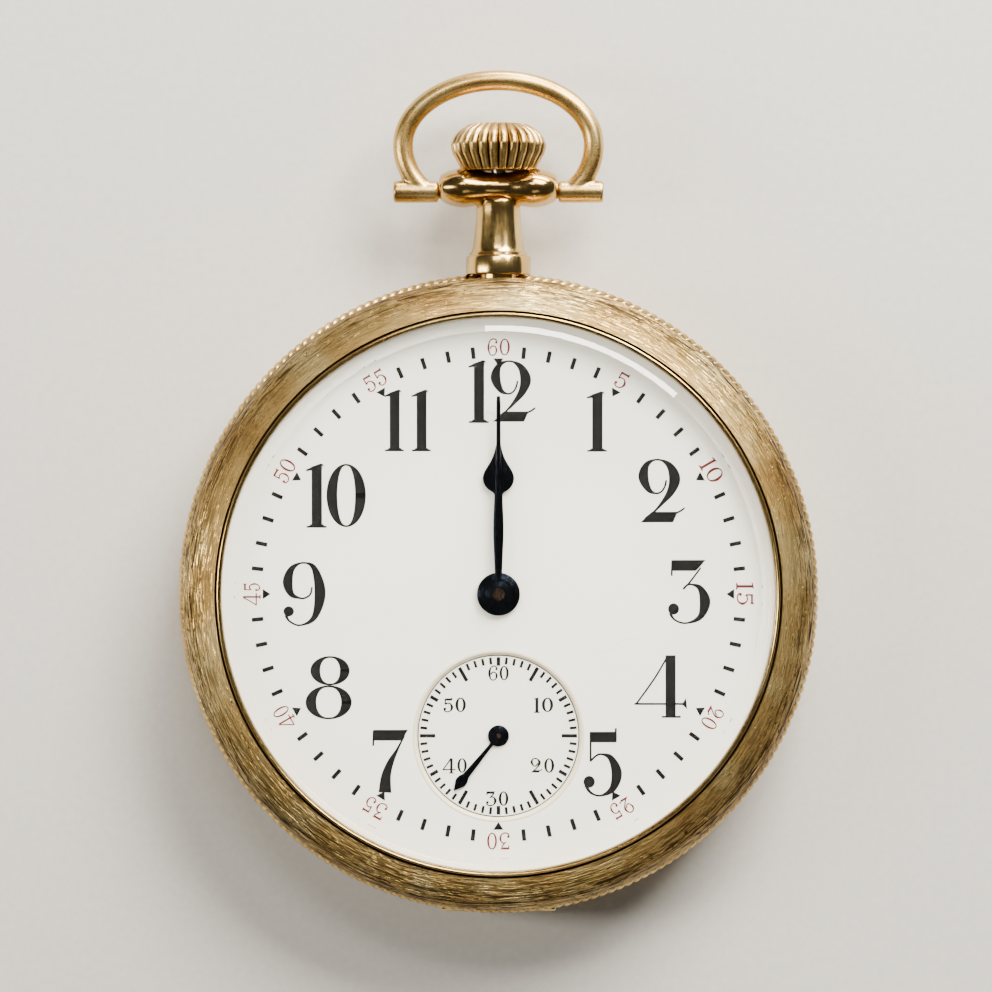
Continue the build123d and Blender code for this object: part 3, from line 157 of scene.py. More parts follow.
def smooth_line(stations, parts=10):
    """Points on a smooth line through the stations, which are tuples of any length."""
    line = []
    for number in range(len(stations) - 1):
        before = stations[max(number - 1, 0)]
        start, end = stations[number], stations[number + 1]
        after = stations[min(number + 2, len(stations) - 1)]
        for part in range(parts):
            t = part / parts
            weights = (
                (-t + 2 * t**2 - t**3) / 2,
                (2 - 5 * t**2 + 3 * t**3) / 2,
                (t + 4 * t**2 - 3 * t**3) / 2,
                (-(t**2) + t**3) / 2,
            )
            fours = zip(before, start, end, after)
            line.append(tuple(sum(w * v for w, v in zip(weights, four)) for four in fours))
    line.append(tuple(stations[-1]))
    return line


def split(profile, spacing):
    """The same profile with points no further apart than the spacing."""
    fine = []
    for start, end in zip(profile, profile[1:]):
        parts = max(1, ceil(hypot(end[0] - start[0], end[1] - start[1]) / spacing))
        fine += [tuple(a + (b - a) * part / parts for a, b in zip(start, end)) for part in range(parts)]
    return fine + [profile[-1]]


def add_prism(points, faces, left, right, low, high):
    """Adds a thin strip between two rows of plan points, closed all round."""
    first = len(points)
    for (lx, ly), (rx, ry) in zip(left, right):
        points += [(lx, ly, low), (rx, ry, low), (rx, ry, high), (lx, ly, high)]
    for row in range(len(left) - 1):
        a = first + row * 4
        for side in range(4):
            after = (side + 1) % 4
            faces.append((a + side, a + after, a + 4 + after, a + 4 + side))
    last = first + (len(left) - 1) * 4
    faces.append((first, first + 3, first + 2, first + 1))
    faces.append((last, last + 1, last + 2, last + 3))


# ---- Shader tools ------------------------------------------------------------------------------
def shade(hex_colour):
    """Linear colour from an sRGB hex value."""
    parts = [int(hex_colour[i:i + 2], 16) / 255 for i in (1, 3, 5)]
    return tuple(p / 12.92 if p <= 0.04045 else ((p + 0.055) / 1.055) ** 2.4 for p in parts) + (1.0,)


def per_mm(cell):
    """A pattern's scale, from the size of its cells in millimetres."""
    return 1 / (cell * MM)


def finish_named(name):
    """A new material with only its surface shader."""
    material = bpy.data.materials.new(name)
    material.use_nodes = True
    return material, material.node_tree, material.node_tree.nodes["Principled BSDF"]


def join(tree, target, sockets):
    """Sets a node's inputs, or links them where the value is another node's output."""
    for name, value in sockets.items():
        if isinstance(value, bpy.types.NodeSocket):
            tree.links.new(value, target.inputs[name])
        else:
            target.inputs[name].default_value = value


def add(tree, kind, sockets, out=0, stops=(), **settings):
    """Adds a shader node with its settings, inputs and links, and gives one of its outputs. The stops
    are a colour ramp's places and colours."""
    made = tree.nodes.new("ShaderNode" + kind)
    for name, value in settings.items():
        setattr(made, name, value)
    if stops:
        elements = made.color_ramp.elements
        while len(elements) < len(stops):
            elements.new(0.5)
        for element, (position, colour) in zip(elements, stops):
            element.position, element.color = position, colour
    join(tree, made, sockets)
    return made.outputs[out]


def turned_place(tree):
    """The parts of a piece's own coordinates, its flat direction from the dial axis, and its distance."""
    apart = add(tree, "SeparateXYZ", {"Vector": add(tree, "TexCoord", {}, "Object")}).node.outputs
    flat = add(tree, "CombineXYZ", {"X": apart["X"], "Y": apart["Y"]})
    return apart, flat, add(tree, "VectorMath", {"Vector": flat}, "Value", operation="LENGTH")


def round_place(tree, along_mm, across_mm, radius_mm):
    """Coordinates that follow the turning, so a pattern's cells are long round the piece and narrow
    across it. It has no seam, because the turn is given as a point on a circle."""
    apart, flat, radius = turned_place(tree)
    facing = add(tree, "VectorMath", {"Vector": flat}, operation="NORMALIZE")
    wide = add(tree, "VectorMath", {"Vector": facing, "Scale": radius_mm / along_mm}, operation="SCALE")
    outward = add(tree, "Math", {0: radius, 1: apart["Z"]}, operation="SUBTRACT")
    across = add(tree, "Math", {0: outward, 1: per_mm(across_mm)}, operation="MULTIPLY")
    depth = add(tree, "CombineXYZ", {"Z": across})
    return add(tree, "VectorMath", {0: wide, 1: depth}, operation="ADD")


# ---- Finishes ----------------------------------------------------------------------------------
GOLD = shade("#C9A866")
GOLD_PALE = shade("#E4CC90")
GOLD_WARM = shade("#AE8A50")
# This dark brown is patina in the engraved and engine-turned lines, and painted shade where the satin finish
# darkens its hollows.
PATINA_AND_SHADE = shade("#2E2214")
PATINA_LIGHT = shade("#6B5638")


def polished_gold():
    """Gold-filled metal, polished and then worn: fine rub marks and a warmer tone where it is thin.
    The real rub marks are finer than this, and are drawn 0.08 mm wide so that they show."""
    material, tree, shader = finish_named("polished_gold_filled")
    place_on = add(tree, "TexCoord", {}, "Object")
    cloud = add(tree, "TexNoise", {"Vector": place_on, "Scale": per_mm(6), "Detail": 3})
    speck = add(tree, "TexNoise", {"Vector": place_on, "Scale": per_mm(0.35), "Detail": 4, "Roughness": 0.6})
    rub = add(tree, "Mapping", {"Vector": place_on, "Scale": (per_mm(0.08), per_mm(2.5), per_mm(0.08))})
    hair = add(tree, "TexNoise", {"Vector": rub, "Scale": 1.0, "Detail": 2})
    tone = add(tree, "ValToRGB", {"Fac": cloud}, stops=[(0.3, GOLD_WARM), (0.5, GOLD), (0.75, GOLD_PALE)])
    dull = add(tree, "MapRange", {"Value": speck, "From Min": 0.62, "From Max": 0.8, "To Max": 0.5})
    tone = add(tree, "Mix", {0: dull, 6: tone, 7: PATINA_LIGHT}, 2, data_type="RGBA")
    marks = add(tree, "Mix", {0: 0.4, 6: hair, 7: speck}, 2, data_type="RGBA")
    rough = add(tree, "MapRange", {
        "Value": marks, "From Min": 0.3, "From Max": 0.7, "To Min": 0.13, "To Max": 0.24,
    })
    raised = add(tree, "Mix", {0: 0.5, 6: hair, 7: speck}, 2, data_type="RGBA")
    bump = add(tree, "Bump", {"Height": raised, "Distance": 0.0012 * MM, "Strength": 0.4})
    join(tree, shader, {"Base Color": tone, "Metallic": 1.0, "Roughness": rough, "Normal": bump})
    return material


def satin_gold(name, shelter_mm):
    """Gold-filled wire and fluting with a soft satin rub. Ambient occlusion darkens its hollows: painted
    shade and patina in one.
    The satin's grit is drawn 0.12 mm wide, coarser than the real one, so that it shows."""
    material, tree, shader = finish_named(name)
    place_on = add(tree, "TexCoord", {}, "Object")
    cloud = add(tree, "TexNoise", {"Vector": place_on, "Scale": per_mm(3), "Detail": 3})
    grit = add(tree, "TexNoise", {"Vector": place_on, "Scale": per_mm(0.12), "Detail": 3, "Roughness": 0.6})
    tone = add(tree, "ValToRGB", {"Fac": cloud}, stops=[(0.3, GOLD_WARM), (0.55, GOLD), (0.8, GOLD_PALE)])
    hollow = add(tree, "AmbientOcclusion", {"Distance": shelter_mm * MM}, "AO", samples=8, only_local=True)
    # painted shade: where the ambient occlusion finds the surface sheltered, the colour is mixed towards the
    # dark patina brown
    painted_shade_and_patina = add(tree, "MapRange", {
        "Value": hollow, "From Min": 0.4, "From Max": 0.85, "To Min": 0.95, "To Max": 0.0,
    })
    tone = add(tree, "Mix", {0: painted_shade_and_patina, 6: tone, 7: PATINA_AND_SHADE}, 2, data_type="RGBA")
    rough = add(tree, "MapRange", {
        "Value": grit, "From Min": 0.3, "From Max": 0.7, "To Min": 0.24, "To Max": 0.4,
    })
    bump = add(tree, "Bump", {"Height": grit, "Distance": 0.006 * MM, "Strength": 0.5})
    join(tree, shader, {"Base Color": tone, "Metallic": 1.0, "Roughness": rough, "Normal": bump})
    return material


def florentine_gold(name, radius_mm, inner_mm):
    """Hand engraved gold: fine wavy lines round the ring, broken by pits. Dirt stays in the lines,
    most of all towards the rim, and the ridges between them are rubbed bright."""
    material, tree, shader = finish_named(name)
    lines = add(tree, "TexNoise", {
        "Vector": round_place(tree, 2.6, 0.15, radius_mm), "Scale": 1.0, "Detail": 2.5, "Roughness": 0.55,
        "Distortion": 0.35,
    })
    fine = add(tree, "TexNoise", {
        "Vector": round_place(tree, 1.1, 0.07, radius_mm), "Scale": 1.0, "Detail": 2, "Distortion": 0.2,
    })
    dashes = add(tree,
                 "TexNoise", {"Vector": round_place(tree, 0.5, 0.16, radius_mm), "Scale": 1.0, "Detail": 1})
    groove = add(tree, "MapRange", {
        "Value": lines, "From Min": 0.43, "From Max": 0.55, "To Min": 1.0, "To Max": 0.0,
    })
    pit = add(tree, "MapRange", {"Value": dashes, "From Min": 0.58, "From Max": 0.68})
    scratch = add(tree, "MapRange", {
        "Value": fine, "From Min": 0.4, "From Max": 0.54, "To Min": 0.8, "To Max": 0.0,
    })
    cut = add(tree, "Math", {0: groove, 1: pit}, operation="MAXIMUM")
    cut = add(tree, "Math", {0: cut, 1: scratch}, operation="MAXIMUM")
    cloud = add(tree, "TexNoise", {
        "Vector": add(tree, "TexCoord", {}, "Object"), "Scale": per_mm(5), "Detail": 3,
    })
    metal = add(tree, "ValToRGB", {"Fac": cloud}, stops=[(0.3, GOLD_WARM), (0.5, GOLD), (0.72, GOLD_PALE)])
    radius = turned_place(tree)[2]
    kept = add(tree, "MapRange", {
        "Value": radius, "From Min": inner_mm * MM, "From Max": (radius_mm - 0.6) * MM, "To Min": 0.55,
    })
    dirt = add(tree, "Math", {0: cut, 1: kept}, operation="MULTIPLY")
    tone = add(tree, "Mix", {0: dirt, 6: metal, 7: PATINA_AND_SHADE}, 2, data_type="RGBA")
    height = add(tree, "Math", {0: 1.0, 1: cut}, operation="SUBTRACT")
    rough = add(tree, "MapRange", {"Value": cut, "To Min": 0.27, "To Max": 0.55})
    bump = add(tree, "Bump", {"Height": height, "Distance": 0.03 * MM, "Strength": 0.8})
    join(tree, shader, {"Base Color": tone, "Metallic": 1.0, "Roughness": rough, "Normal": bump})
    return material


def engine_turned_gold():
    """The back: a field of fine engine-turned waves in polished gold, softened by pocket wear. The
    rings are 0.45 mm apart with 48 waves round, which is coarser than real work, so that they show."""
    material, tree, shader = finish_named("engine_turned_gold_filled")
    apart, _, radius = turned_place(tree)
    turn = add(tree, "Math", {0: apart["Y"], 1: apart["X"]}, operation="ARCTAN2")
    petals = add(tree, "Math", {0: turn, 1: 48.0}, operation="MULTIPLY")
    wave = add(tree, "Math", {0: petals}, operation="SINE")
    sway = add(tree, "Math", {0: wave, 1: 0.22 * MM}, operation="MULTIPLY")
    swept = add(tree, "Math", {0: radius, 1: sway}, operation="ADD")
    rings = add(tree, "Math", {0: swept, 1: tau * per_mm(0.45)}, operation="MULTIPLY")
    cut = add(tree, "Math", {0: rings}, operation="SINE")
    field = add(tree, "MapRange", {"Value": radius, "From Min": 6.4 * MM, "From Max": 6.8 * MM})
    rim = add(tree, "MapRange", {
        "Value": radius, "From Min": 20.2 * MM, "From Max": 20.6 * MM, "To Min": 1.0, "To Max": 0.0,
    })
    where = add(tree, "Math", {0: field, 1: rim}, operation="MULTIPLY")
    waves = add(tree, "MapRange", {"Value": cut, "From Min": -1.0})
    height = add(tree, "Math", {0: waves, 1: where}, operation="MULTIPLY")
    cloud = add(tree, "TexNoise", {
        "Vector": add(tree, "TexCoord", {}, "Object"), "Scale": per_mm(7), "Detail": 4,
    })
    metal = add(tree, "ValToRGB", {"Fac": cloud}, stops=[(0.3, GOLD_WARM), (0.5, GOLD), (0.75, GOLD_PALE)])
    low = add(tree, "Math", {0: 1.0, 1: height}, operation="SUBTRACT")
    dirt = add(tree, "Math", {0: low, 1: where}, operation="MULTIPLY")
    amount = add(tree, "MapRange", {"Value": dirt, "From Min": 0.45, "To Max": 0.6})
    tone = add(tree, "Mix", {0: amount, 6: metal, 7: PATINA_AND_SHADE}, 2, data_type="RGBA")
    rough = add(tree, "MapRange", {
        "Value": cloud, "From Min": 0.3, "From Max": 0.7, "To Min": 0.18, "To Max": 0.32,
    })
    bump = add(tree, "Bump", {"Height": height, "Distance": 0.03 * MM, "Strength": 0.8})
    join(tree, shader, {"Base Color": tone, "Metallic": 1.0, "Roughness": rough, "Normal": bump})
    return material


def fired_enamel(name, hex_colour):
    """Vitreous enamel: a glassy cream white with faint clouding and a soft orange-peel skin."""
    material, tree, shader = finish_named(name)
    place_on = add(tree, "TexCoord", {}, "Object")
    cloud = add(tree, "TexNoise", {"Vector": place_on, "Scale": per_mm(9), "Detail": 3})
    grain = add(tree, "TexNoise", {"Vector": place_on, "Scale": per_mm(0.18), "Detail": 3, "Roughness": 0.6})
    peel = add(tree, "TexNoise", {"Vector": place_on, "Scale": per_mm(1.1), "Detail": 2})
    yellowed = add(tree, "MapRange", {"Value": cloud, "From Min": 0.35, "From Max": 0.75, "To Max": 0.25})
    warm = add(tree, "Mix", {0: yellowed, 6: shade(hex_colour), 7: shade("#D9D4C8")}, 2, data_type="RGBA")
    speck = add(tree, "MapRange", {"Value": grain, "From Min": 0.74, "From Max": 0.86, "To Max": 0.35})
    tone = add(tree, "Mix", {0: speck, 6: warm, 7: shade("#A9A294")}, 2, data_type="RGBA")
    rough = add(tree, "MapRange", {"Value": cloud, "To Min": 0.1, "To Max": 0.2})
    bump = add(tree, "Bump", {"Height": peel, "Distance": 0.004 * MM, "Strength": 0.35})
    join(tree, shader, {
        "Base Color": tone, "Roughness": rough, "IOR": 1.52, "Coat Weight": 0.4, "Coat Roughness": 0.05,
        "Normal": bump,
    })
    return material


def fired_paint(name, hex_colour, worn):
    """Enamel paint fired on the dial: dense and nearly matt, so that it stays dark under the lamps."""
    material, tree, shader = finish_named(name)
    grain = add(tree, "TexNoise", {
        "Vector": add(tree, "TexCoord", {}, "Object"), "Scale": per_mm(0.14), "Detail": 3, "Roughness": 0.6,
    })
    thin = add(tree, "MapRange", {"Value": grain, "From Min": 0.5, "From Max": 0.85, "To Max": 0.45})
    tone = add(tree, "Mix", {0: thin, 6: shade(hex_colour), 7: shade(worn)}, 2, data_type="RGBA")
    rough = add(tree, "MapRange", {"Value": grain, "To Min": 0.5, "To Max": 0.7})
    join(tree, shader, {"Base Color": tone, "Roughness": rough, "Specular IOR Level": 0.12})
    return material


def steel(name, dark, light, rough, cell_mm=0.5):
    """Hardened steel, ground and polished, with the tone that its heat treatment leaves. The lapping
    marks are drawn 0.05 mm wide, coarser than the real ones, so that they show."""
    material, tree, shader = finish_named(name)
    place_on = add(tree, "TexCoord", {}, "Object")
    cloud = add(tree, "TexNoise", {"Vector": place_on, "Scale": per_mm(cell_mm), "Detail": 3})
    lap = add(tree, "Mapping", {"Vector": place_on, "Scale": (per_mm(0.05), per_mm(0.9), per_mm(0.05))})
    hair = add(tree, "TexNoise", {"Vector": lap, "Scale": 1.0, "Detail": 2})
    tone = add(tree, "ValToRGB", {"Fac": cloud}, stops=[(0.3, shade(dark)), (0.7, shade(light))])
    gleam = add(tree, "MapRange", {
        "Value": hair, "From Min": 0.3, "From Max": 0.7, "To Min": rough, "To Max": rough + 0.14,
    })
    bump = add(tree, "Bump", {"Height": hair, "Distance": 0.002 * MM, "Strength": 0.4})
    join(tree, shader, {"Base Color": tone, "Metallic": 1.0, "Roughness": gleam, "Normal": bump})
    return material


def striped_nickel():
    """Nickelled plates with damaskeening: soft striped bands laid across the plate, 1.6 mm apart. At
    a scale of one, the wave pattern's own bands are 0.314 apart."""
    material, tree, shader = finish_named("damaskeened_nickel")
    place_on = add(tree, "TexCoord", {}, "Object")
    bent = add(tree, "Mapping", {"Vector": place_on, "Rotation": (0, 0, radians(28))})
    bands = add(
        tree, "TexWave",
        {"Vector": bent, "Scale": 0.314 * per_mm(1.6), "Distortion": 0.4, "Detail": 1.0}, "Fac",
        wave_type="BANDS", bands_direction="X", wave_profile="SAW",
    )
    swirl = add(tree, "Mapping", {
        "Vector": place_on, "Scale": (per_mm(0.06), per_mm(1.6), per_mm(0.06)),
        "Rotation": (0, 0, radians(20)),
    })
    hair = add(tree, "TexNoise", {"Vector": swirl, "Scale": 1.0, "Detail": 2})
    tone = add(tree, "ValToRGB", {"Fac": bands}, stops=[(0.0, shade("#8F8C86")), (1.0, shade("#D2CEC6"))])
    rough = add(tree, "MapRange", {"Value": bands, "To Min": 0.22, "To Max": 0.42})
    raised = add(tree, "Mix", {0: 0.6, 6: bands, 7: hair}, 2, data_type="RGBA")
    bump = add(tree, "Bump", {"Height": raised, "Distance": 0.006 * MM, "Strength": 0.5})
    join(tree, shader, {"Base Color": tone, "Metallic": 1.0, "Roughness": rough, "Normal": bump})
    return material


def gilt_brass():
    """Gilt brass wheels: a fine grained, frosted yellow with a soft gleam."""
    material, tree, shader = finish_named("gilt_brass")
    place_on = add(tree, "TexCoord", {}, "Object")
    cloud = add(tree, "TexNoise", {"Vector": place_on, "Scale": per_mm(2.5), "Detail": 3})
    frost = add(tree, "TexNoise", {"Vector": place_on, "Scale": per_mm(0.07), "Detail": 3, "Roughness": 0.6})
    tone = add(tree, "ValToRGB", {"Fac": cloud}, stops=[(0.3, shade("#B98A3E")), (0.7, shade("#E2BE72"))])
    rough = add(tree, "MapRange", {
        "Value": frost, "From Min": 0.3, "From Max": 0.7, "To Min": 0.24, "To Max": 0.42,
    })
    bump = add(tree, "Bump", {"Height": frost, "Distance": 0.003 * MM, "Strength": 0.5})
    join(tree, shader, {"Base Color": tone, "Metallic": 1.0, "Roughness": rough, "Normal": bump})
    return material


def ruby():
    """Synthetic ruby jewels: deep pink-red, polished like glass."""
    material, tree, shader = finish_named("polished_ruby")
    cloud = add(tree, "TexNoise", {
        "Vector": add(tree, "TexCoord", {}, "Object"), "Scale": per_mm(0.4), "Detail": 2,
    })
    tone = add(tree, "ValToRGB", {"Fac": cloud}, stops=[(0.3, shade("#8E0F2C")), (0.7, shade("#C5264A"))])
    rough = add(tree, "MapRange", {"Value": cloud, "To Min": 0.04, "To Max": 0.1})
    join(tree, shader, {"Base Color": tone, "Roughness": rough, "IOR": 1.76, "Coat Weight": 0.3})
    return material


def crystal_glass():
    """Mineral glass: clear, with its edge and bevel showing as thin grey lines. Light passes straight
    through it for shadows, as it does through a thin glass."""
    material, tree, shader = finish_named("clear_mineral_glass")
    smear = add(tree, "TexNoise", {
        "Vector": add(tree, "TexCoord", {}, "Object"), "Scale": per_mm(8), "Detail": 4,
    })
    rough = add(tree, "MapRange", {"Value": smear, "From Min": 0.45, "From Max": 0.75, "To Max": 0.03})
    join(tree, shader, {
        "Base Color": shade("#FDFEFC"), "Transmission Weight": 1.0, "IOR": 1.5, "Roughness": rough,
    })
    shadow = add(tree, "LightPath", {}, "Is Shadow Ray")
    clear = add(tree, "BsdfTransparent", {"Color": (0.97, 0.97, 0.96, 1.0)})
    mixed = add(tree, "MixShader", {"Fac": shadow, 1: shader.outputs[0], 2: clear})
    join(tree, tree.nodes["Material Output"], {"Surface": mixed})
    return material


def pale_board():
    """The pale matt board that the watch lies on."""
    material, tree, shader = finish_named("pale_matt_board")
    grain = add(tree, "TexNoise", {
        "Vector": add(tree, "TexCoord", {}, "Object"), "Scale": per_mm(0.6), "Detail": 3,
    })
    tone = add(tree, "ValToRGB", {"Fac": grain}, stops=[(0.3, shade("#D6D4CF")), (0.7, shade("#DDDBD6"))])
    join(tree, shader, {"Base Color": tone, "Roughness": 0.85})
    return material


gold_plain = polished_gold()
# The satin and rope finishes paint shade, with patina, into their hollows by ambient occlusion.
gold_satin = satin_gold("satin_gold_filled", 0.9)
gold_bezel = florentine_gold("florentine_engraved_gold", bezel_radius, opening + 0.8)
gold_rope = satin_gold("rope_milled_gold", 0.7)
# The groove under the bezel's lip: its dark line is painted shade from the ambient occlusion, standing also
# for tarnish.
gold_groove_tarnish_and_shade = satin_gold("groove_gold_tarnish_and_shade", 1.5)
gold_back = engine_turned_gold()
enamel = fired_enamel("white_fired_enamel", "#E6E5E0")
enamel_edge = fired_enamel("cream_enamel_edge", "#CFC5AC")
ink_black = fired_paint("black_fired_paint", "#060606", "#1A1816")
ink_red = fired_paint("oxblood_fired_paint", "#551A1E", "#7E4240")
blued = steel("blued_steel", "#050608", "#0D1119", 0.2)
polished_steel = steel("polished_steel", "#8B8B88", "#C9C8C4", 0.14)
brown_steel = steel("straw_tempered_steel", "#3B2C22", "#6B5546", 0.2, 0.3)
spring_steel = steel("blued_spring_steel", "#182A52", "#33508A", 0.18)
nickel = striped_nickel()
brass = gilt_brass()
jewel = ruby()
glass = crystal_glass()
board = pale_board()

finishes = {
    gold_plain: ("hinge_pin", "pendant_sleeve"),
    gold_back: ("back_cover",),
    enamel: ("dial", "seconds_dial"),
    glass: ("crystal",),
    nickel: ("main_plate", "barrel_bridge", "train_bridge", "pallet_bridge", "balance_cock"),
    brass: (
        "barrel", "barrel_cover", "center_wheel", "third_wheel", "fourth_wheel", "minute_wheel", "hour_wheel",
        "balance_wheel", "balance_screws", "setting_wheel", "intermediate_wheel",
    ),
    jewel: ("train_jewels", "pallet_stones", "impulse_jewel"),
    spring_steel: ("hairspring", "mainspring", "bridge_screws", "case_screws", "crown_wheel_screw",
                   "ratchet_screw"),
    brown_steel: ("cannon_pinion", "center_pinion", "fourth_pinion"),
}
for finish, names in finishes.items():
    for name in names:
        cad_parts[name].data.materials.clear()
        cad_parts[name].data.materials.append(finish)
for name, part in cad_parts.items():
    if not any(name in names for names in finishes.values()):
        part.data.materials.clear()
        part.data.materials.append(polished_steel)


# ---- The case band with its rope-milled edge ---------------------------------------------------
rope_strands = 216
rope_rise = 0.7
rope_half_height = 0.8
stem_bore = 1.5
pendant_foot = bezel_radius + 0.3
band_radius = case_radius - rope_rise


def drilled(mesh, radius, start, end):
    """The same mesh with a hole drilled in it along the stem's line."""
    drill = turned("drill", [(0, start), (radius, start), (radius, end), (0, end)], 64, about_y, closed=False)
    blank, bit = (bpy.data.objects.new(name, data) for name, data in (("blank", mesh), ("bit", drill)))
    for obj in (blank, bit):
        bpy.context.scene.collection.objects.link(obj)
    cut = blank.modifiers.new("drill", "BOOLEAN")
    cut.operation, cut.solver, cut.object = "DIFFERENCE", "EXACT", bit
    ready = bpy.data.meshes.new_from_object(blank.evaluated_get(bpy.context.evaluated_depsgraph_get()))
    for obj in (blank, bit):
        bpy.data.objects.remove(obj)
    return ready


def band():
    """The band: turned inside and out, with the rope strands rolled slantwise into its bead."""
    neck, bore, ledge = bezel_radius - 1.35, opening + 0.22, opening - 0.83
    cover_height, neck_depth, dial_sink, flange_thickness = 3.8, 0.8, 0.9, 1.2
    flange = dial_top - dial_sink - flange_thickness
    sphere = (rope_rise**2 + rope_half_height**2) / (2 * rope_rise)
    bead_centre = case_radius - sphere
    reach = atan2(rope_half_height, band_radius - bead_centre)
    bead_parts = 22
    bead = []
    for part in range(bead_parts + 1):
        lean = reach * (1 - 2 * part / bead_parts)
        bead.append((bead_centre + sphere * cos(lean), stem_level + sphere * sin(lean)))
    low = cover_box[0].z + cover_height
    body = [
        (band_radius, low), (neck, low), (neck, low - neck_depth), (ledge, low - neck_depth), (ledge, flange),
        (bore, flange), (bore, dial_top - dial_sink), (bore + 0.3, dial_top - dial_sink),
        (bore + 0.3, dial_top + 0.2),
        (neck, dial_top + 0.2), (neck, bezel_low), (band_radius, bezel_low),
    ]

    def strands(turn, number):
        if number > bead_parts:
            return (0, 0)
        across = number / bead_parts
        phase = rope_strands * turn / tau + 2.2 * across
        valley = 1 - abs(sin(pi * phase)) ** 0.7
        fade = min(1.0, 6 * across, 6 * (1 - across))
        return (-0.42 * valley * fade, 0)

    ring = turned("case_ring", bead + body, rope_strands * 8, relief=strands, sharp=50)
    ring = drilled(ring, stem_bore, ledge - 1, pendant_foot - 1)
    ring.name = "case_band"
    place("case_band", ring, gold_rope, "case", "case_center")


def hinge_knuckles():
    """The band's two outer hinge knuckles at six o'clock."""
    pin_low, pin_high = box_mm("hinge_pin")
    middle = (pin_low + pin_high) / 2
    wall = 0.28
    radius = (pin_high.z - pin_low.z) / 2 + wall
    leaf_end = 1.86
    chamfer_along, chamfer_down = 0.05, 0.04
    for side, name in ((-1, "hinge_knuckle_left"), (1, "hinge_knuckle_right")):
        inner, outer = side * leaf_end, side * (pin_high.x - 0.02)
        points, faces = [], []
        steps = 28
        ends = (
            (inner, radius - chamfer_down), (inner + side * chamfer_along, radius),
            (outer - side * chamfer_along, radius), (outer, radius - chamfer_down),
        )
        for step in range(steps):
            turn = tau * step / steps
            for x, r in ends:
                points.append((x, middle.y + r * cos(turn), middle.z + r * sin(turn)))
        for step in range(steps):
            here, there = step * 4, (step + 1) % steps * 4
            for number in range(3):
                faces.append((here + number, here + number + 1, there + number + 1, there + number))
        faces.append([step * 4 for step in range(steps)])
        faces.append([step * 4 + 3 for step in reversed(range(steps))])
        place(name, to_mesh(name, points, faces), gold_plain, "case")


# ---- The bezel -----------------------------------------------------------------------------------
def bezel():
    """The bezel: a steep engraved skirt, a broad engraved slope, and a plain polished lip."""
    top = bezel_high
    skirt = smooth_line([
        (bezel_radius, bezel_low + 0.14), (bezel_radius - 0.05, bezel_low + 0.55),
        (bezel_radius - 0.2, bezel_low + 1.0),
        (bezel_radius - 0.48, bezel_low + 1.42), (bezel_radius - 0.72, bezel_low + 1.66),
    ])
    slope = smooth_line([
        (bezel_radius - 0.8, bezel_low + 1.73), (bezel_radius - 1.3, top - 0.8),
        (bezel_radius - 1.9, top - 0.5),
        (bezel_radius - 2.35, top - 0.32), (opening + 0.52, top - 0.24),
    ])
    engraved = split(skirt + slope, 0.055)
    lip = smooth_line([
        (opening + 0.5, top - 0.5), (opening + 0.36, top - 0.46), (opening + 0.32, top - 0.1),
        (opening + 0.24, top - 0.01),
        (opening + 0.12, top - 0.03), (opening, top - 0.2),
    ], 5)
    inside = [
        (opening, crystal_box[0].z + 0.7), (crystal_radius + 0.05, crystal_box[0].z + 0.7),
        (crystal_radius + 0.05, crystal_box[0].z), (opening, crystal_box[0].z), (opening, dial_top + 0.3),
        (bezel_radius - 1.3, dial_top + 0.3), (bezel_radius - 1.3, bezel_low),
        (bezel_radius - 0.1, bezel_low),
    ]
    first, last = 3, len(engraved) - 3

    def cuts(turn, number):
        if not first < number < last:
            return (0, 0)
        radius, height = engraved[number]
        around = (cos(turn) * 9.0, sin(turn) * 9.0)
        sway = 0.5 * noise.noise((around[0] * 2, around[1] * 2, number * 0.03))
        line = noise.noise((around[0], around[1], number * 0.21 + sway))
        dash = noise.noise((cos(turn) * 46, sin(turn) * 46, number * 0.4 + 7))
        depth = 0.032 * min(0.0, 0.12 - abs(line)) * 2 - 0.05 * max(0.0, dash - 0.42)
        lean = 0.45 if height > bezel_low + 1.7 else 0.95
        return (depth * lean, depth)

    profile = engraved + lip + inside
    mesh = turned("bezel_ring", profile, 1400, relief=cuts, sharp=60)
    piece = place("bezel_ring", mesh, gold_bezel, "bezel", "bezel")
    mesh.materials.append(gold_plain)
    mesh.materials.append(gold_groove_tarnish_and_shade)
    for face in mesh.polygons:
        radius = hypot(*face.center[:2]) / MM
        if radius < opening + 0.34:
            face.material_index = 1
        # the groove between slope and lip gets the finish with painted shade and tarnish
        elif radius < opening + 0.53:
            face.material_index = 2
    return piece


# ---- Pendant, bow and crown --------------------------------------------------------------------
pendant_high = pendant_box[1]
head_reach = pendant_high.x
head_lobe = 1.545
head_waist = 1.15
head_line = pendant_high.y - head_lobe
head_depth = 1.5


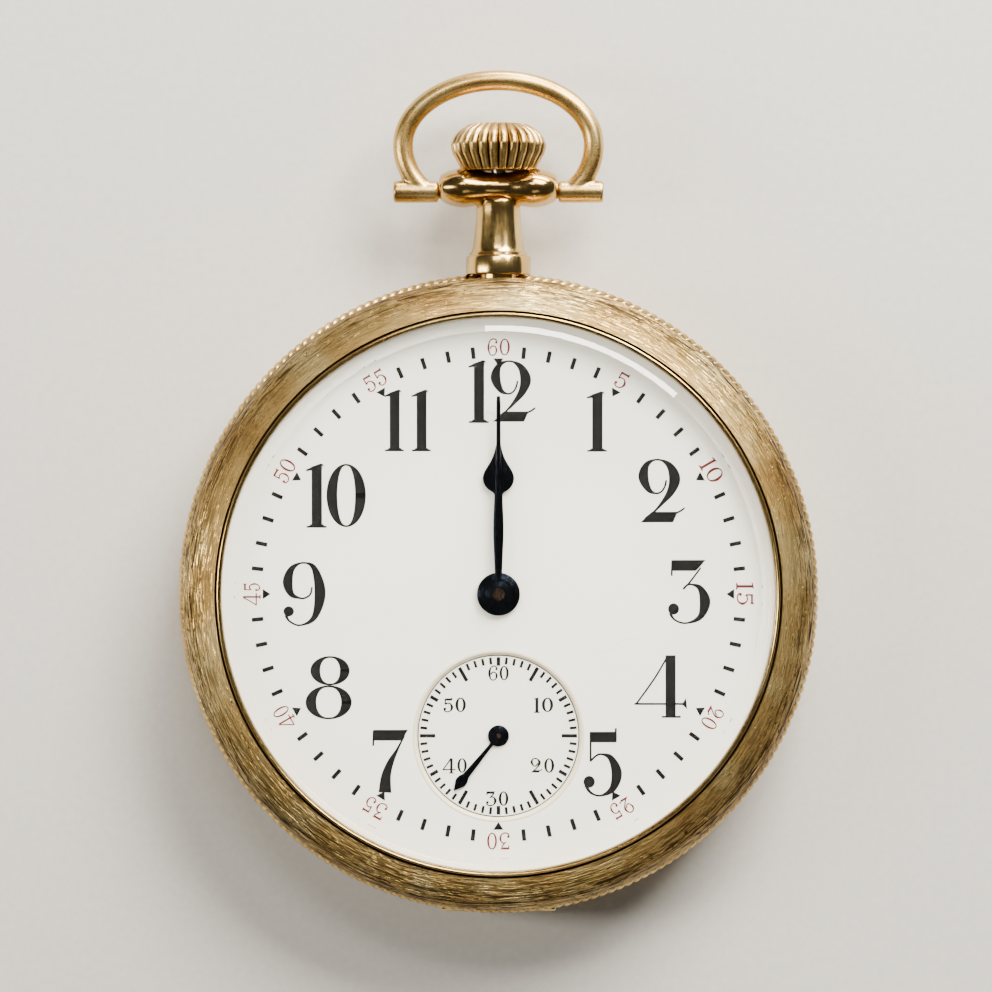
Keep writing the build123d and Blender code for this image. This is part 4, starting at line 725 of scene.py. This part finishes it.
def pendant():
    """The pendant: base ring, waisted neck, and the bone-shaped head that the bow hangs on."""
    profile = [(0, pendant_foot - 1.0), (1.5, pendant_foot - 1.0), (1.5, pendant_foot), (2.44, pendant_foot)]
    profile += [(2.53, pendant_foot + 0.06), (2.55, pendant_foot + 0.16), (2.55, pendant_foot + 1.32)]
    profile += [(2.5, pendant_foot + 1.42), (2.36, pendant_foot + 1.46), (2.3, pendant_foot + 1.52)]
    profile += [(2.27, pendant_foot + 1.7), (2.2, pendant_foot + 1.76)]
    profile += smooth_line([
        (2.12, pendant_foot + 1.78), (2.0, pendant_foot + 2.2), (1.84, pendant_foot + 3.4),
        (1.74, pendant_foot + 4.6),
        (1.7, head_line - 1.1), (1.5, head_line - 0.85),
    ])
    profile.append((0, head_line - 0.8))
    place("pendant_neck", turned("pendant_neck", profile, 160, about_y, closed=False), gold_plain, "case",
          "pendant")

    stations = [
        (0, head_waist + 0.04), (0.9, head_waist + 0.09), (1.9, head_lobe - 0.1), (2.75, head_lobe),
        (3.6, head_lobe - 0.13),
        (4.2, 1.18), (head_reach - 0.13, 0.98), (head_reach, 0.72),
    ]
    half = smooth_line(stations, 8)
    row = [(-x, r) for x, r in reversed(half)] + half[1:]
    row = [(row[0][0], 0.0)] + row + [(row[-1][0], 0.0)]

    def about_head(radius, x, turn):
        return (x, head_line + radius * cos(turn), stem_level + head_depth * radius * sin(turn))

    mesh = turned("pendant_head", [(r, x) for x, r in row], 96, about_head, closed=False, sharp=50)
    place("pendant_head", mesh, gold_plain, "case", "pendant")


def bow():
    """The bow: a drawn wire ring brazed to two cross bars, with fillets where they meet."""
    wire = 0.8
    bar_radius = 0.86
    low, high = bow_box
    line = low.y + bar_radius
    half_width = high.x - wire
    shoulder = line + 3.65
    rise = high.y - wire - shoulder
    leg = 4.525
    leg_end = atan2(shoulder - line, sqrt(leg**2 - (shoulder - line) ** 2))
    route = [(half_width - leg + leg * cos(a), shoulder + leg * sin(a)) for a in
             [-leg_end + leg_end * i / 14 for i in range(14)]]
    route += [(half_width * cos(pi * i / 60), shoulder + rise * sin(pi * i / 60)) for i in range(61)]
    route += [(-x, y) for x, y in reversed(route[:14])]
    work = bmesh.new()
    upward = Vector((0, 0, 1))
    ring = []
    for number, (x, y) in enumerate(route):
        ahead = route[min(number + 1, len(route) - 1)]
        back = route[max(number - 1, 0)]
        heading = Vector((ahead[0] - back[0], ahead[1] - back[1], 0)).normalized()
        side = Vector((-heading.y, heading.x, 0))
        middle = Vector((x, y, stem_level))
        ring.append([
            work.verts.new(middle + (side * cos(tau * i / 24) + upward * sin(tau * i / 24)) * wire)
            for i in range(24)
        ])
    for one, two in zip(ring, ring[1:]):
        for i in range(24):
            work.faces.new((one[i], one[(i + 1) % 24], two[(i + 1) % 24], two[i]))
    work.faces.new(reversed(ring[0]))
    work.faces.new(ring[-1])
    inner = head_reach + 0.1
    outer = high.x - 0.05
    for side in (-1, 1):
        stations = ((inner - 1.1, 0.5), (inner, 0.5), (inner, bar_radius), (outer - 0.08, bar_radius),
                    (outer, bar_radius - 0.1))
        circle = [(cos(tau * i / 32), sin(tau * i / 32)) for i in range(32)]
        loops = [
            [work.verts.new((side * x, line + r * a, stem_level + r * b)) for a, b in circle]
            for x, r in stations
        ]
        for one, two in zip(loops, loops[1:]):
            for i in range(32):
                work.faces.new((one[i], one[(i + 1) % 32], two[(i + 1) % 32], two[i]))
        work.faces.new(loops[0])
        work.faces.new(loops[-1])
    bmesh.ops.recalc_face_normals(work, faces=work.faces)
    raw = bpy.data.meshes.new("bow_raw")
    work.to_mesh(raw)
    work.free()
    blank = bpy.data.objects.new("bow_blank", raw)
    bpy.context.scene.collection.objects.link(blank)
    remesh = blank.modifiers.new("braze", "REMESH")
    remesh.mode = "VOXEL"
    remesh.voxel_size = 0.11
    soften = blank.modifiers.new("fillet", "SMOOTH")
    soften.factor = 0.5
    soften.iterations = 5
    ready = bpy.data.meshes.new_from_object(blank.evaluated_get(bpy.context.evaluated_depsgraph_get()))
    bpy.data.objects.remove(blank)
    ready.transform(Matrix.Scale(MM, 4))
    ready.polygons.foreach_set("use_smooth", [True] * len(ready.polygons))
    ready.name = "bow_ring"
    place("bow_ring", ready, gold_satin, "bow", "bow")


def crown():
    """The crown: an onion of rounded flutes with a bevelled shoulder."""
    flutes = 26
    low, high = crown_box
    widest = high.z - stem_level
    height = high.y - low.y
    flank = smooth_line([
        (2.75, low.y + 0.02), (2.95, low.y + 0.22), (3.3, low.y + 0.85), (3.6, low.y + 1.4),
        (widest, low.y + 2.0),
    ], 6)
    shoulder = smooth_line([
        (widest - 0.04, low.y + 2.2), (3.46, low.y + 2.72), (3.0, low.y + 3.2), (2.3, low.y + height - 0.06),
    ], 6)
    top = [(1.5, high.y), (0.8, high.y), (0, high.y)]
    base = [(0, low.y), (1.4, low.y), (2.2, low.y)]
    profile = base + flank + shoulder + top
    first, last = len(base), len(base + flank + shoulder)

    def fluting(turn, number):
        if not first <= number < last:
            return (0, 0)
        radius = profile[number][0]
        across = turn * flutes / tau % 1
        valley = abs(2 * across - 1) ** 2.4
        return (-0.36 * valley * radius / widest, 0)

    mesh = turned("crown_onion", profile, flutes * 14, about_y, closed=False, relief=fluting, sharp=28)
    place("crown_onion", mesh, gold_satin, "crown", "crown")


# ---- Numerals ----------------------------------------------------------------------------------
# Each figure is one unit high. A stroke is a smooth line of (x, y, width), a ring is two ovals
# (centre x, centre y, outer x, outer y, inner x, inner y), a ball is (x, y, radius), and a bar is a
# level slab (start, end, top, thickness, lean of its start, lean of its end).
figures = {
    "0": {"width": 0.63, "rings": [(0.315, 0.5, 0.315, 0.5, 0.143, 0.47)]},
    "1": {
        "width": 0.32,
        "strokes": [[(0.165, 0.015, 0.165), (0.165, 0.96, 0.165)],
                    [(-0.005, 0.895, 0.016), (0.1, 0.925, 0.06), (0.245, 0.965, 0.09)],
                    [(0.245, 0.965, 0.09), (0.248, 1.0, 0.004)]],
        "bars": [(0.0, 0.32, 0.02, 0.02, 0.0, 0.0), (0.06, 0.27, 0.045, 0.03, -0.6, 0.6)],
    },
    "2": {
        "width": 0.73,
        "strokes": [[
            (0.434, 0.67, 0.010), (0.415, 0.575, 0.016), (0.36, 0.49, 0.022), (0.275, 0.462, 0.026),
            (0.165, 0.52, 0.085),
            (0.08, 0.72, 0.156), (0.14, 0.92, 0.085), (0.31, 0.988, 0.02), (0.48, 0.9, 0.10),
            (0.565, 0.7, 0.175),
            (0.51, 0.5, 0.125), (0.38, 0.32, 0.06), (0.24, 0.17, 0.03), (0.11, 0.075, 0.03),
        ], [(0.6, 0.16, 0.03), (0.66, 0.19, 0.02), (0.72, 0.235, 0.02)]],
        "bars": [(0.21, 0.615, 0.175, 0.165, -1.05, -0.45)],
    },
    "3": {
        "width": 0.69,
        "strokes": [
            [(0.07, 0.99, 0.02), (0.062, 0.75, 0.02)],
            [(0.53, 0.88, 0.03), (0.36, 0.66, 0.02), (0.245, 0.54, 0.022)],
            [(0.245, 0.54, 0.016), (0.3, 0.6, 0.02), (0.38, 0.618, 0.024), (0.52, 0.56, 0.09),
             (0.6, 0.35, 0.175), (0.52, 0.11, 0.09),
             (0.3, 0.014, 0.026), (0.12, 0.06, 0.03), (0.035, 0.165, 0.05)],
        ],
        "balls": [(0.092, 0.235, 0.09)],
        "bars": [(0.065, 0.61, 1.0, 0.17, 0.1, -0.9)],
    },
    "4": {
        "width": 0.86,
        "strokes": [
            [(0.59, 0.02, 0.165), (0.59, 1.0, 0.165)],
            [(0.545, 0.99, 0.03), (0.34, 0.64, 0.022), (0.035, 0.215, 0.03)],
            [(0.0, 0.215, 0.022), (0.8, 0.215, 0.022)],
            [(0.77, 0.215, 0.02), (0.8, 0.215, 0.06), (0.85, 0.22, 0.19)],
        ],
        "bars": [(0.445, 0.755, 0.022, 0.022, 0.0, 0.0)],
    },
    "5": {
        "width": 0.59,
        "strokes": [
            [(0.112, 0.94, 0.022), (0.112, 0.51, 0.02)],
            [(0.105, 0.51, 0.012), (0.19, 0.59, 0.02), (0.28, 0.617, 0.026), (0.42, 0.56, 0.09),
             (0.51, 0.34, 0.16), (0.44, 0.11, 0.1),
             (0.26, 0.014, 0.026), (0.11, 0.06, 0.04), (0.04, 0.17, 0.06)],
            [(0.497, 0.8, 0.02), (0.497, 1.0, 0.018)],
        ],
        "balls": [(0.09, 0.215, 0.087)],
        "bars": [(0.1, 0.507, 0.945, 0.155, 0.0, 0.0)],
    },
    "7": {
        "width": 0.57,
        "strokes": [
            [(0.017, 0.98, 0.02), (0.01, 0.735, 0.02)],
            [(0.5, 0.9, 0.03), (0.4, 0.7, 0.04), (0.28, 0.47, 0.105), (0.212, 0.25, 0.155),
             (0.195, 0.0, 0.205)],
        ],
        "bars": [(0.015, 0.56, 0.99, 0.17, 0.05, -0.62)],
    },
    "8": {
        "width": 0.71,
        "rings": [(0.375, 0.768, 0.303, 0.232, 0.152, 0.21), (0.355, 0.268, 0.355, 0.268, 0.192, 0.245)],
    },
    "9": {
        "width": 0.65,
        "strokes": [[
            (0.443, 0.61, 0.010), (0.42, 0.5, 0.018), (0.34, 0.44, 0.026), (0.26, 0.437, 0.03),
            (0.13, 0.5, 0.09),
            (0.075, 0.69, 0.152), (0.14, 0.9, 0.09), (0.31, 0.988, 0.022), (0.48, 0.9, 0.09),
            (0.568, 0.52, 0.17),
            (0.48, 0.14, 0.09), (0.27, 0.014, 0.024), (0.11, 0.07, 0.028), (0.045, 0.17, 0.05),
        ]],
        "balls": [(0.09, 0.23, 0.08)],
    },
}
figures["6"] = {
    "width": figures["9"]["width"],
    "strokes": [[(figures["9"]["width"] - x, 1 - y, w) for x, y, w in figures["9"]["strokes"][0]]],
    "balls": [(figures["9"]["width"] - x, 1 - y, r) for x, y, r in figures["9"]["balls"]],
}


def figure_rows(figure, weight, thin):
    """The rows of plan points that make up one figure: each pair is the two sides of a strip. No line
    is finer than the thin stroke."""
    rows = []
    for stroke in figure.get("strokes", []):
        line = smooth_line(stroke, 8 if len(stroke) > 3 else 4)
        left, right = [], []
        for number, (x, y, width) in enumerate(line):
            ahead, back = line[min(number + 1, len(line) - 1)], line[max(number - 1, 0)]
            length = hypot(ahead[0] - back[0], ahead[1] - back[1]) or 1
            out = (-(ahead[1] - back[1]) / length, (ahead[0] - back[0]) / length)
            half = max(width * weight, thin) / 2
            left.append((x + out[0] * half, y + out[1] * half))
            right.append((x - out[0] * half, y - out[1] * half))
        rows.append((left, right))
    for cx, cy, outer_x, outer_y, inner_x, inner_y in figure.get("rings", []):
        inner_x, inner_y = outer_x - max((outer_x - inner_x) * weight, thin), min(inner_y, outer_y - thin)
        turns = [tau * i / 56 for i in range(57)]
        outer = [(cx + outer_x * cos(t), cy + outer_y * sin(t)) for t in turns]
        flat = [abs(cos(t)) ** 0.82 * (1 if cos(t) > 0 else -1) for t in turns]
        inner = [(cx + inner_x * f, cy + inner_y * sin(t)) for f, t in zip(flat, turns)]
        rows.append((outer, inner))
    for cx, cy, radius in figure.get("balls", []):
        radius = radius * (0.55 + 0.45 * weight)
        turns = [pi * i / 18 for i in range(19)]
        upper = [(cx + radius * cos(t), cy + radius * sin(t)) for t in turns]
        lower = [(cx + radius * cos(t), cy - radius * sin(t)) for t in turns]
        rows.append((upper, lower))
    for start, end, top, thickness, lean_start, lean_end in figure.get("bars", []):
        thickness = max(thickness * weight, thin)
        rows.append(([(start, top), (start + lean_start * thickness, top - thickness)],
                     [(end, top), (end + lean_end * thickness, top - thickness)]))
    return rows


def number_strips(points, faces, text, centre, size, level, weight=1.0, turn=0.0, spacing=0.06, thin=0.03):
    """Adds a number's strips: its centre, its width and height in millimetres, and its turn."""
    widths = [figures[figure]["width"] for figure in text]
    total = sum(widths) + spacing * (len(text) - 1)
    scale_x, scale_y = size[0] / total, size[1]
    start = 0.0
    for figure, width in zip(text, widths):
        for strip, (left, right) in enumerate(figure_rows(figures[figure], weight, thin)):
            sides = []
            for side in (left, right):
                moved = []
                for x, y in side:
                    px, py = (x + start - total / 2) * scale_x, (y - 0.5) * scale_y
                    across = px * cos(turn) - py * sin(turn)
                    moved.append((centre[0] + across, centre[1] + px * sin(turn) + py * cos(turn)))
                sides.append(moved)
            add_prism(points, faces, *sides, level - print_sunk, level + print_height + strip * stroke_step)
        start += width + spacing


def clock_turn(minutes):
    """The direction of a minute mark, in radians from three o'clock."""
    return pi / 2 - tau * minutes / 60


def radial_mark(points, faces, centre, minutes, inner, outer, width, level, point_inward=False):
    """Adds a straight mark along a radius, or a triangle that points at the centre."""
    turn = clock_turn(minutes)
    along, across = (cos(turn), sin(turn)), (-sin(turn), cos(turn))
    rows = ([], [])
    for radius in (inner, outer):
        half = 0.01 if point_inward and radius == inner else width / 2
        for row, side in zip(rows, (-1, 1)):
            row.append((centre[0] + along[0] * radius + across[0] * half * side,
                        centre[1] + along[1] * radius + across[1] * half * side))
    add_prism(points, faces, *rows, level - print_sunk, level + print_height)


# ---- The dial's printing -----------------------------------------------------------------------
hour_numbers = {
    # number: centre, size
    "12": ((0.3, 15.7), (5.2, 4.78), 0.03), "1": ((7.64, 13.38), (1.55, 4.6), 0),
    "2": ((12.65, 7.99), (3.65, 4.97), 0),
    "3": ((14.78, 0.16), (3.3, 4.96), 0), "4": ((12.57, -7.14), (4.1, 4.8), 0),
    "5": ((8.07, -13.03), (3.0, 5.3), 0),
    "7": ((-8.35, -12.92), (2.8, 4.9), 0), "8": ((-13.15, -7.25), (3.57, 4.9), 0),
    "9": ((-15.05, 0.0), (3.3, 4.96), 0),
    "10": ((-12.57, 7.64), (4.6, 4.9), 0.0), "11": ((-7.02, 13.46), (3.57, 4.7), 0.13),
}


def hour_printing():
    """The twelve's bold black figures. There is no six: the seconds dial takes its place."""
    points, faces = [], []
    for text, (centre, size, spacing) in hour_numbers.items():
        number_strips(points, faces, text, centre, size, dial_top, spacing=spacing)
    place("hour_figures", to_mesh("hour_figures", points, faces), ink_black, "case")


def minute_printing():
    """The minute track: a dash for each minute, and a triangle and a red number for each five."""
    points, faces, red_points, red_faces = [], [], [], []
    for minute in range(60):
        if minute % 5:
            radial_mark(points, faces, (0, 0), minute, 18.3, 19.2, 0.32, dial_top)
        else:
            radial_mark(points, faces, (0, 0), minute, 17.65, 18.25, 0.8, dial_top, point_inward=True)
            text = str(minute or 60)
            turn = clock_turn(minute)
            middle = (19.12 * cos(turn), 19.12 * sin(turn))
            size = (0.84 * len(text) + 0.08, 1.3)
            number_strips(red_points, red_faces, text, middle, size, dial_top, 0.75, turn - pi / 2, 0.12,
                          0.075)
    place("minute_marks", to_mesh("minute_marks", points, faces), ink_black, "case")
    place("minute_numbers", to_mesh("minute_numbers", red_points, red_faces), ink_red, "case")


def seconds_printing():
    """The sunk dial's sixty marks and its six upright numbers."""
    points, faces = [], []
    centre = (seconds_at.x, seconds_at.y)
    for second in range(60):
        inner, width = 5.55, 0.21
        if second % 10 == 5:
            inner, width = 4.9, 0.28
        elif second % 10 == 0:
            inner, width = 5.42, 0.28
        radial_mark(points, faces, centre, second, inner, 6.1, width, seconds_top)
    numbers = {
        "60": ((0.0, 4.86), 1.6), "10": ((3.5, 2.4), 1.5), "20": ((3.4, -2.3), 1.85),
        "30": ((-0.1, -4.86), 1.75),
        "40": ((-3.4, -2.3), 1.9), "50": ((-3.4, 2.4), 1.75),
    }
    for text, (offset, width) in numbers.items():
        middle = (centre[0] + offset[0], centre[1] + offset[1])
        number_strips(points, faces, text, middle, (width, 1.12), seconds_top, 1.0, 0.0, 0.12, 0.085)
    place("seconds_marks", to_mesh("seconds_marks", points, faces), ink_black, "case")


def dial_edges():
    """The ground edge round the seconds dial's opening, and the fine ring where its enamel meets."""
    for name, rows, finish in (
        ("seconds_well_edge", [
            (6.28, -0.02), (6.34, 0.05), (6.44, 0.17), (6.54, 0.262), (6.62, 0.264), (6.66, 0.25),
            (6.52, 0.2), (6.4, -0.02),
        ], enamel_edge),
        ("seconds_well_line", [(6.2, -0.01), (6.2, 0.008), (6.285, 0.012), (6.285, -0.01)], brown_steel),
    ):
        mesh = turned(name, [(r, seconds_top + h) for r, h in rows], 240)
        mesh.transform(Matrix.Translation(Vector((seconds_at.x, seconds_at.y, 0)) * MM))
        place(name, mesh, finish, "case")


def enamel_hairline():
    """A faint hairline crack in the enamel, from the seconds dial towards four o'clock."""
    line = smooth_line([
        (7.178, -5.06, 0.03), (7.984, -4.5, 0.04), (8.852, -4.3, 0.03), (9.72, -3.54, 0.035),
        (11.084, -3.22, 0.02), (12.51, -2.02, 0.01),
    ])
    left, right = [], []
    for number, (x, y, width) in enumerate(line):
        wobble = 0.05 * noise.noise((x * 3, y * 3, 4.0))
        left.append((x, y + wobble + width / 2))
        right.append((x, y + wobble - width / 2))
    points, faces = [], []
    add_prism(points, faces, left, right, dial_top - print_sunk, dial_top + 0.002)
    place("enamel_hairline", to_mesh("enamel_hairline", points, faces), enamel_edge, "case")


# ---- The hands ---------------------------------------------------------------------------------
def blade(stations, low, thickness, crest=0.05):
    """A hand's blade from (distance, half width) stations: flat below, edges broken, softly crowned."""
    points, faces = [], []
    section = ((-1, 0), (-1, 0.55), (-0.72, 0.95), (-0.3, 1.0), (0.3, 1.0), (0.72, 0.95), (1, 0.55), (1, 0))
    for distance, half in stations:
        for across, height in section:
            crown_rise = crest * (1 - abs(across)) * min(1.0, half / 0.5) if height > 0.9 else 0
            points.append((across * half, distance, low + (thickness * height + crown_rise)))
    count = len(section)
    for row in range(len(stations) - 1):
        for number in range(count):
            after = (number + 1) % count
            here, there = row * count, (row + 1) * count
            faces.append((here + number, here + after, there + after, there + number))
    faces.append(list(range(count)))
    faces.append([(len(stations) - 1) * count + number for number in reversed(range(count))])
    return points, faces


def joined(name, groups, turn=0.0, centre=(0, 0)):
    """One mesh from several groups of points and faces, turned and moved into place."""
    points, faces = [], []
    for some_points, some_faces in groups:
        first = len(points)
        points += some_points
        faces += [tuple(first + corner for corner in face) for face in some_faces]
    points = [
        (centre[0] + x * cos(turn) - y * sin(turn), centre[1] + x * sin(turn) + y * cos(turn), z)
        for x, y, z in points
    ]
    return to_mesh(name, points, faces, 40)


def hub(profile, steps=72):
    """A turned boss for a hand, as points and faces round its own axis."""
    points, faces = [], []
    for step in range(steps):
        for radius, height in profile:
            points.append(about_z(radius, height, tau * step / steps))
    count = len(profile)
    for step in range(steps):
        here, there = step * count, (step + 1) % steps * count
        for number in range(count):
            after = (number + 1) % count
            faces.append((here + number, there + number, there + after, here + after))
    return points, faces


def boss_profile(outer, bore, low, high, step_radius=None):
    """Section of a boss with broken edges, and a step if it has one."""
    profile = [(bore, low), (outer - 0.03, low), (outer, low + 0.04), (outer, high - 0.1),
               (outer - 0.08, high - 0.03)]
    if step_radius:
        profile += [(step_radius + 0.06, high), (step_radius, high + 0.03),
                    (step_radius - 0.1, high + 0.07), (bore, high + 0.07)]
    else:
        profile += [(outer - 0.2, high), (bore, high)]
    return profile


def hour_hand():
    """The blued steel spade hand."""
    low = hour_hand_box[0].z
    stem = [(1.2, 0.2), (3.0, 0.22), (5.0, 0.25), (6.8, 0.25), (7.55, 0.27)]
    spade = [(7.86, 0.42), (8.1, 0.78), (8.5, 1.1), (9.0, 1.205), (9.45, 1.1), (9.9, 0.84), (10.35, 0.57),
             (10.9, 0.34), (11.5, 0.2)]
    line = smooth_line([(d, w) for d, w in stem + spade], 7)
    boss = hub(boss_profile(1.67, 1.0, low, low + 0.2, 1.25))
    mesh = joined("hour_spade", [blade(line + [(11.8, 0.13)], low, 0.17), boss])
    place("hour_spade", mesh, blued, "hour", "hour_hand")


def minute_hand():
    """The long blued steel minute hand, with its boss and the collar stepped on it."""
    low = minute_hand_box[0].z
    line = smooth_line([(0.6, 0.245), (2.5, 0.31), (4.2, 0.385), (5.2, 0.4), (6.4, 0.365), (7.9, 0.295),
                        (10.0, 0.22), (12.0, 0.175), (14.6, 0.165)], 7)
    boss = hub(boss_profile(1.04, 0.485, low, low + 0.24, 0.74))
    mesh = joined("minute_blade", [blade(line + [(15.2, 0.15), (15.3, 0.1)], low, 0.17), boss])
    place("minute_blade", mesh, blued, "minute", "minute_hand")


def seconds_hand():
    """The small seconds hand with its drop-shaped tip."""
    low = seconds_hand_box[0].z
    seconds_bearing = -radians(219.3)
    line = smooth_line([(0.5, 0.14), (1.6, 0.16), (2.8, 0.21), (3.7, 0.25), (4.02, 0.29), (4.28, 0.4),
                        (4.57, 0.445), (4.82, 0.38),
                        (5.05, 0.24), (5.3, 0.1)], 7)
    boss = hub(boss_profile(0.825, 0.2, low, low + 0.12, 0.5), 60)
    groups = [blade(line + [(5.46, 0.02)], low, 0.1, 0.03), boss]
    mesh = joined("seconds_drop", groups, seconds_bearing, (seconds_at.x, seconds_at.y))
    place("seconds_drop", mesh, blued, "fourth", "seconds_hand")


# ---- Room, light and camera --------------------------------------------------------------------
def board_and_light():
    """A pale board under the watch, a soft key from the upper right, and four softer lamps round it."""
    size = 1.2
    mesh = bpy.data.meshes.new("board")
    mesh.from_pydata([(-size, -size, 0), (size, -size, 0), (size, size, 0), (-size, size, 0)], [],
                     [(0, 1, 2, 3)])
    mesh.materials.append(board)
    floor = bpy.data.objects.new("board", mesh)
    floor.location.z = cad_low.z - 0.00002
    bpy.context.scene.collection.objects.link(floor)

    world = bpy.data.worlds.new("soft_room")
    world.use_nodes = True
    world.node_tree.nodes["Background"].inputs["Color"].default_value = shade("#C9CCD1")
    world.node_tree.nodes["Background"].inputs["Strength"].default_value = 0.1
    bpy.context.scene.world = world

    for name, turn, tilt, distance, width, height, power in (
        ("key_softbox", 62, 50, 0.34, 0.2, 0.13, 3.0),
        ("top_softbox", 95, 30, 0.4, 0.16, 0.05, 0.5),
        ("left_strip", 178, 56, 0.34, 0.06, 0.2, 0.8),
        ("window_strip", 70, 80, 0.36, 0.3, 0.05, 3.2),
        ("low_fill", 285, 40, 0.42, 0.2, 0.12, 0.08),
    ):
        lamp = bpy.data.lights.new(name, "AREA")
        lamp.shape = "RECTANGLE"
        lamp.size, lamp.size_y = width, height
        lamp.energy = power
        lamp.color = shade("#FFF8EC")[:3]
        holder = bpy.data.objects.new(name, lamp)
        aside = sin(radians(tilt))
        away = Vector((cos(radians(turn)) * aside, sin(radians(turn)) * aside, cos(radians(tilt))))
        holder.location = Vector((0, 0.005, 0)) + away * distance
        holder.rotation_euler = away.to_track_quat("Z", "Y").to_euler()
        bpy.context.scene.collection.objects.link(holder)


def camera():
    """Straight above the dial, far enough back that the rim shows no more than it should."""
    shown = 76.96 * MM
    lens, sensor = 180.0, 36.0
    eye = bpy.data.cameras.new("eye")
    eye.lens, eye.sensor_width = lens, sensor
    holder = bpy.data.objects.new("eye", eye)
    dial_level = dial_top * MM
    holder.location = (-0.19 * MM, 7.6 * MM, dial_level + shown * lens / sensor)
    bpy.context.scene.collection.objects.link(holder)
    bpy.context.scene.camera = holder


band()
hinge_knuckles()
bezel()
pendant()
bow()
crown()
hour_printing()
minute_printing()
seconds_printing()
dial_edges()
enamel_hairline()
hour_hand()
minute_hand()
seconds_hand()
board_and_light()
camera()
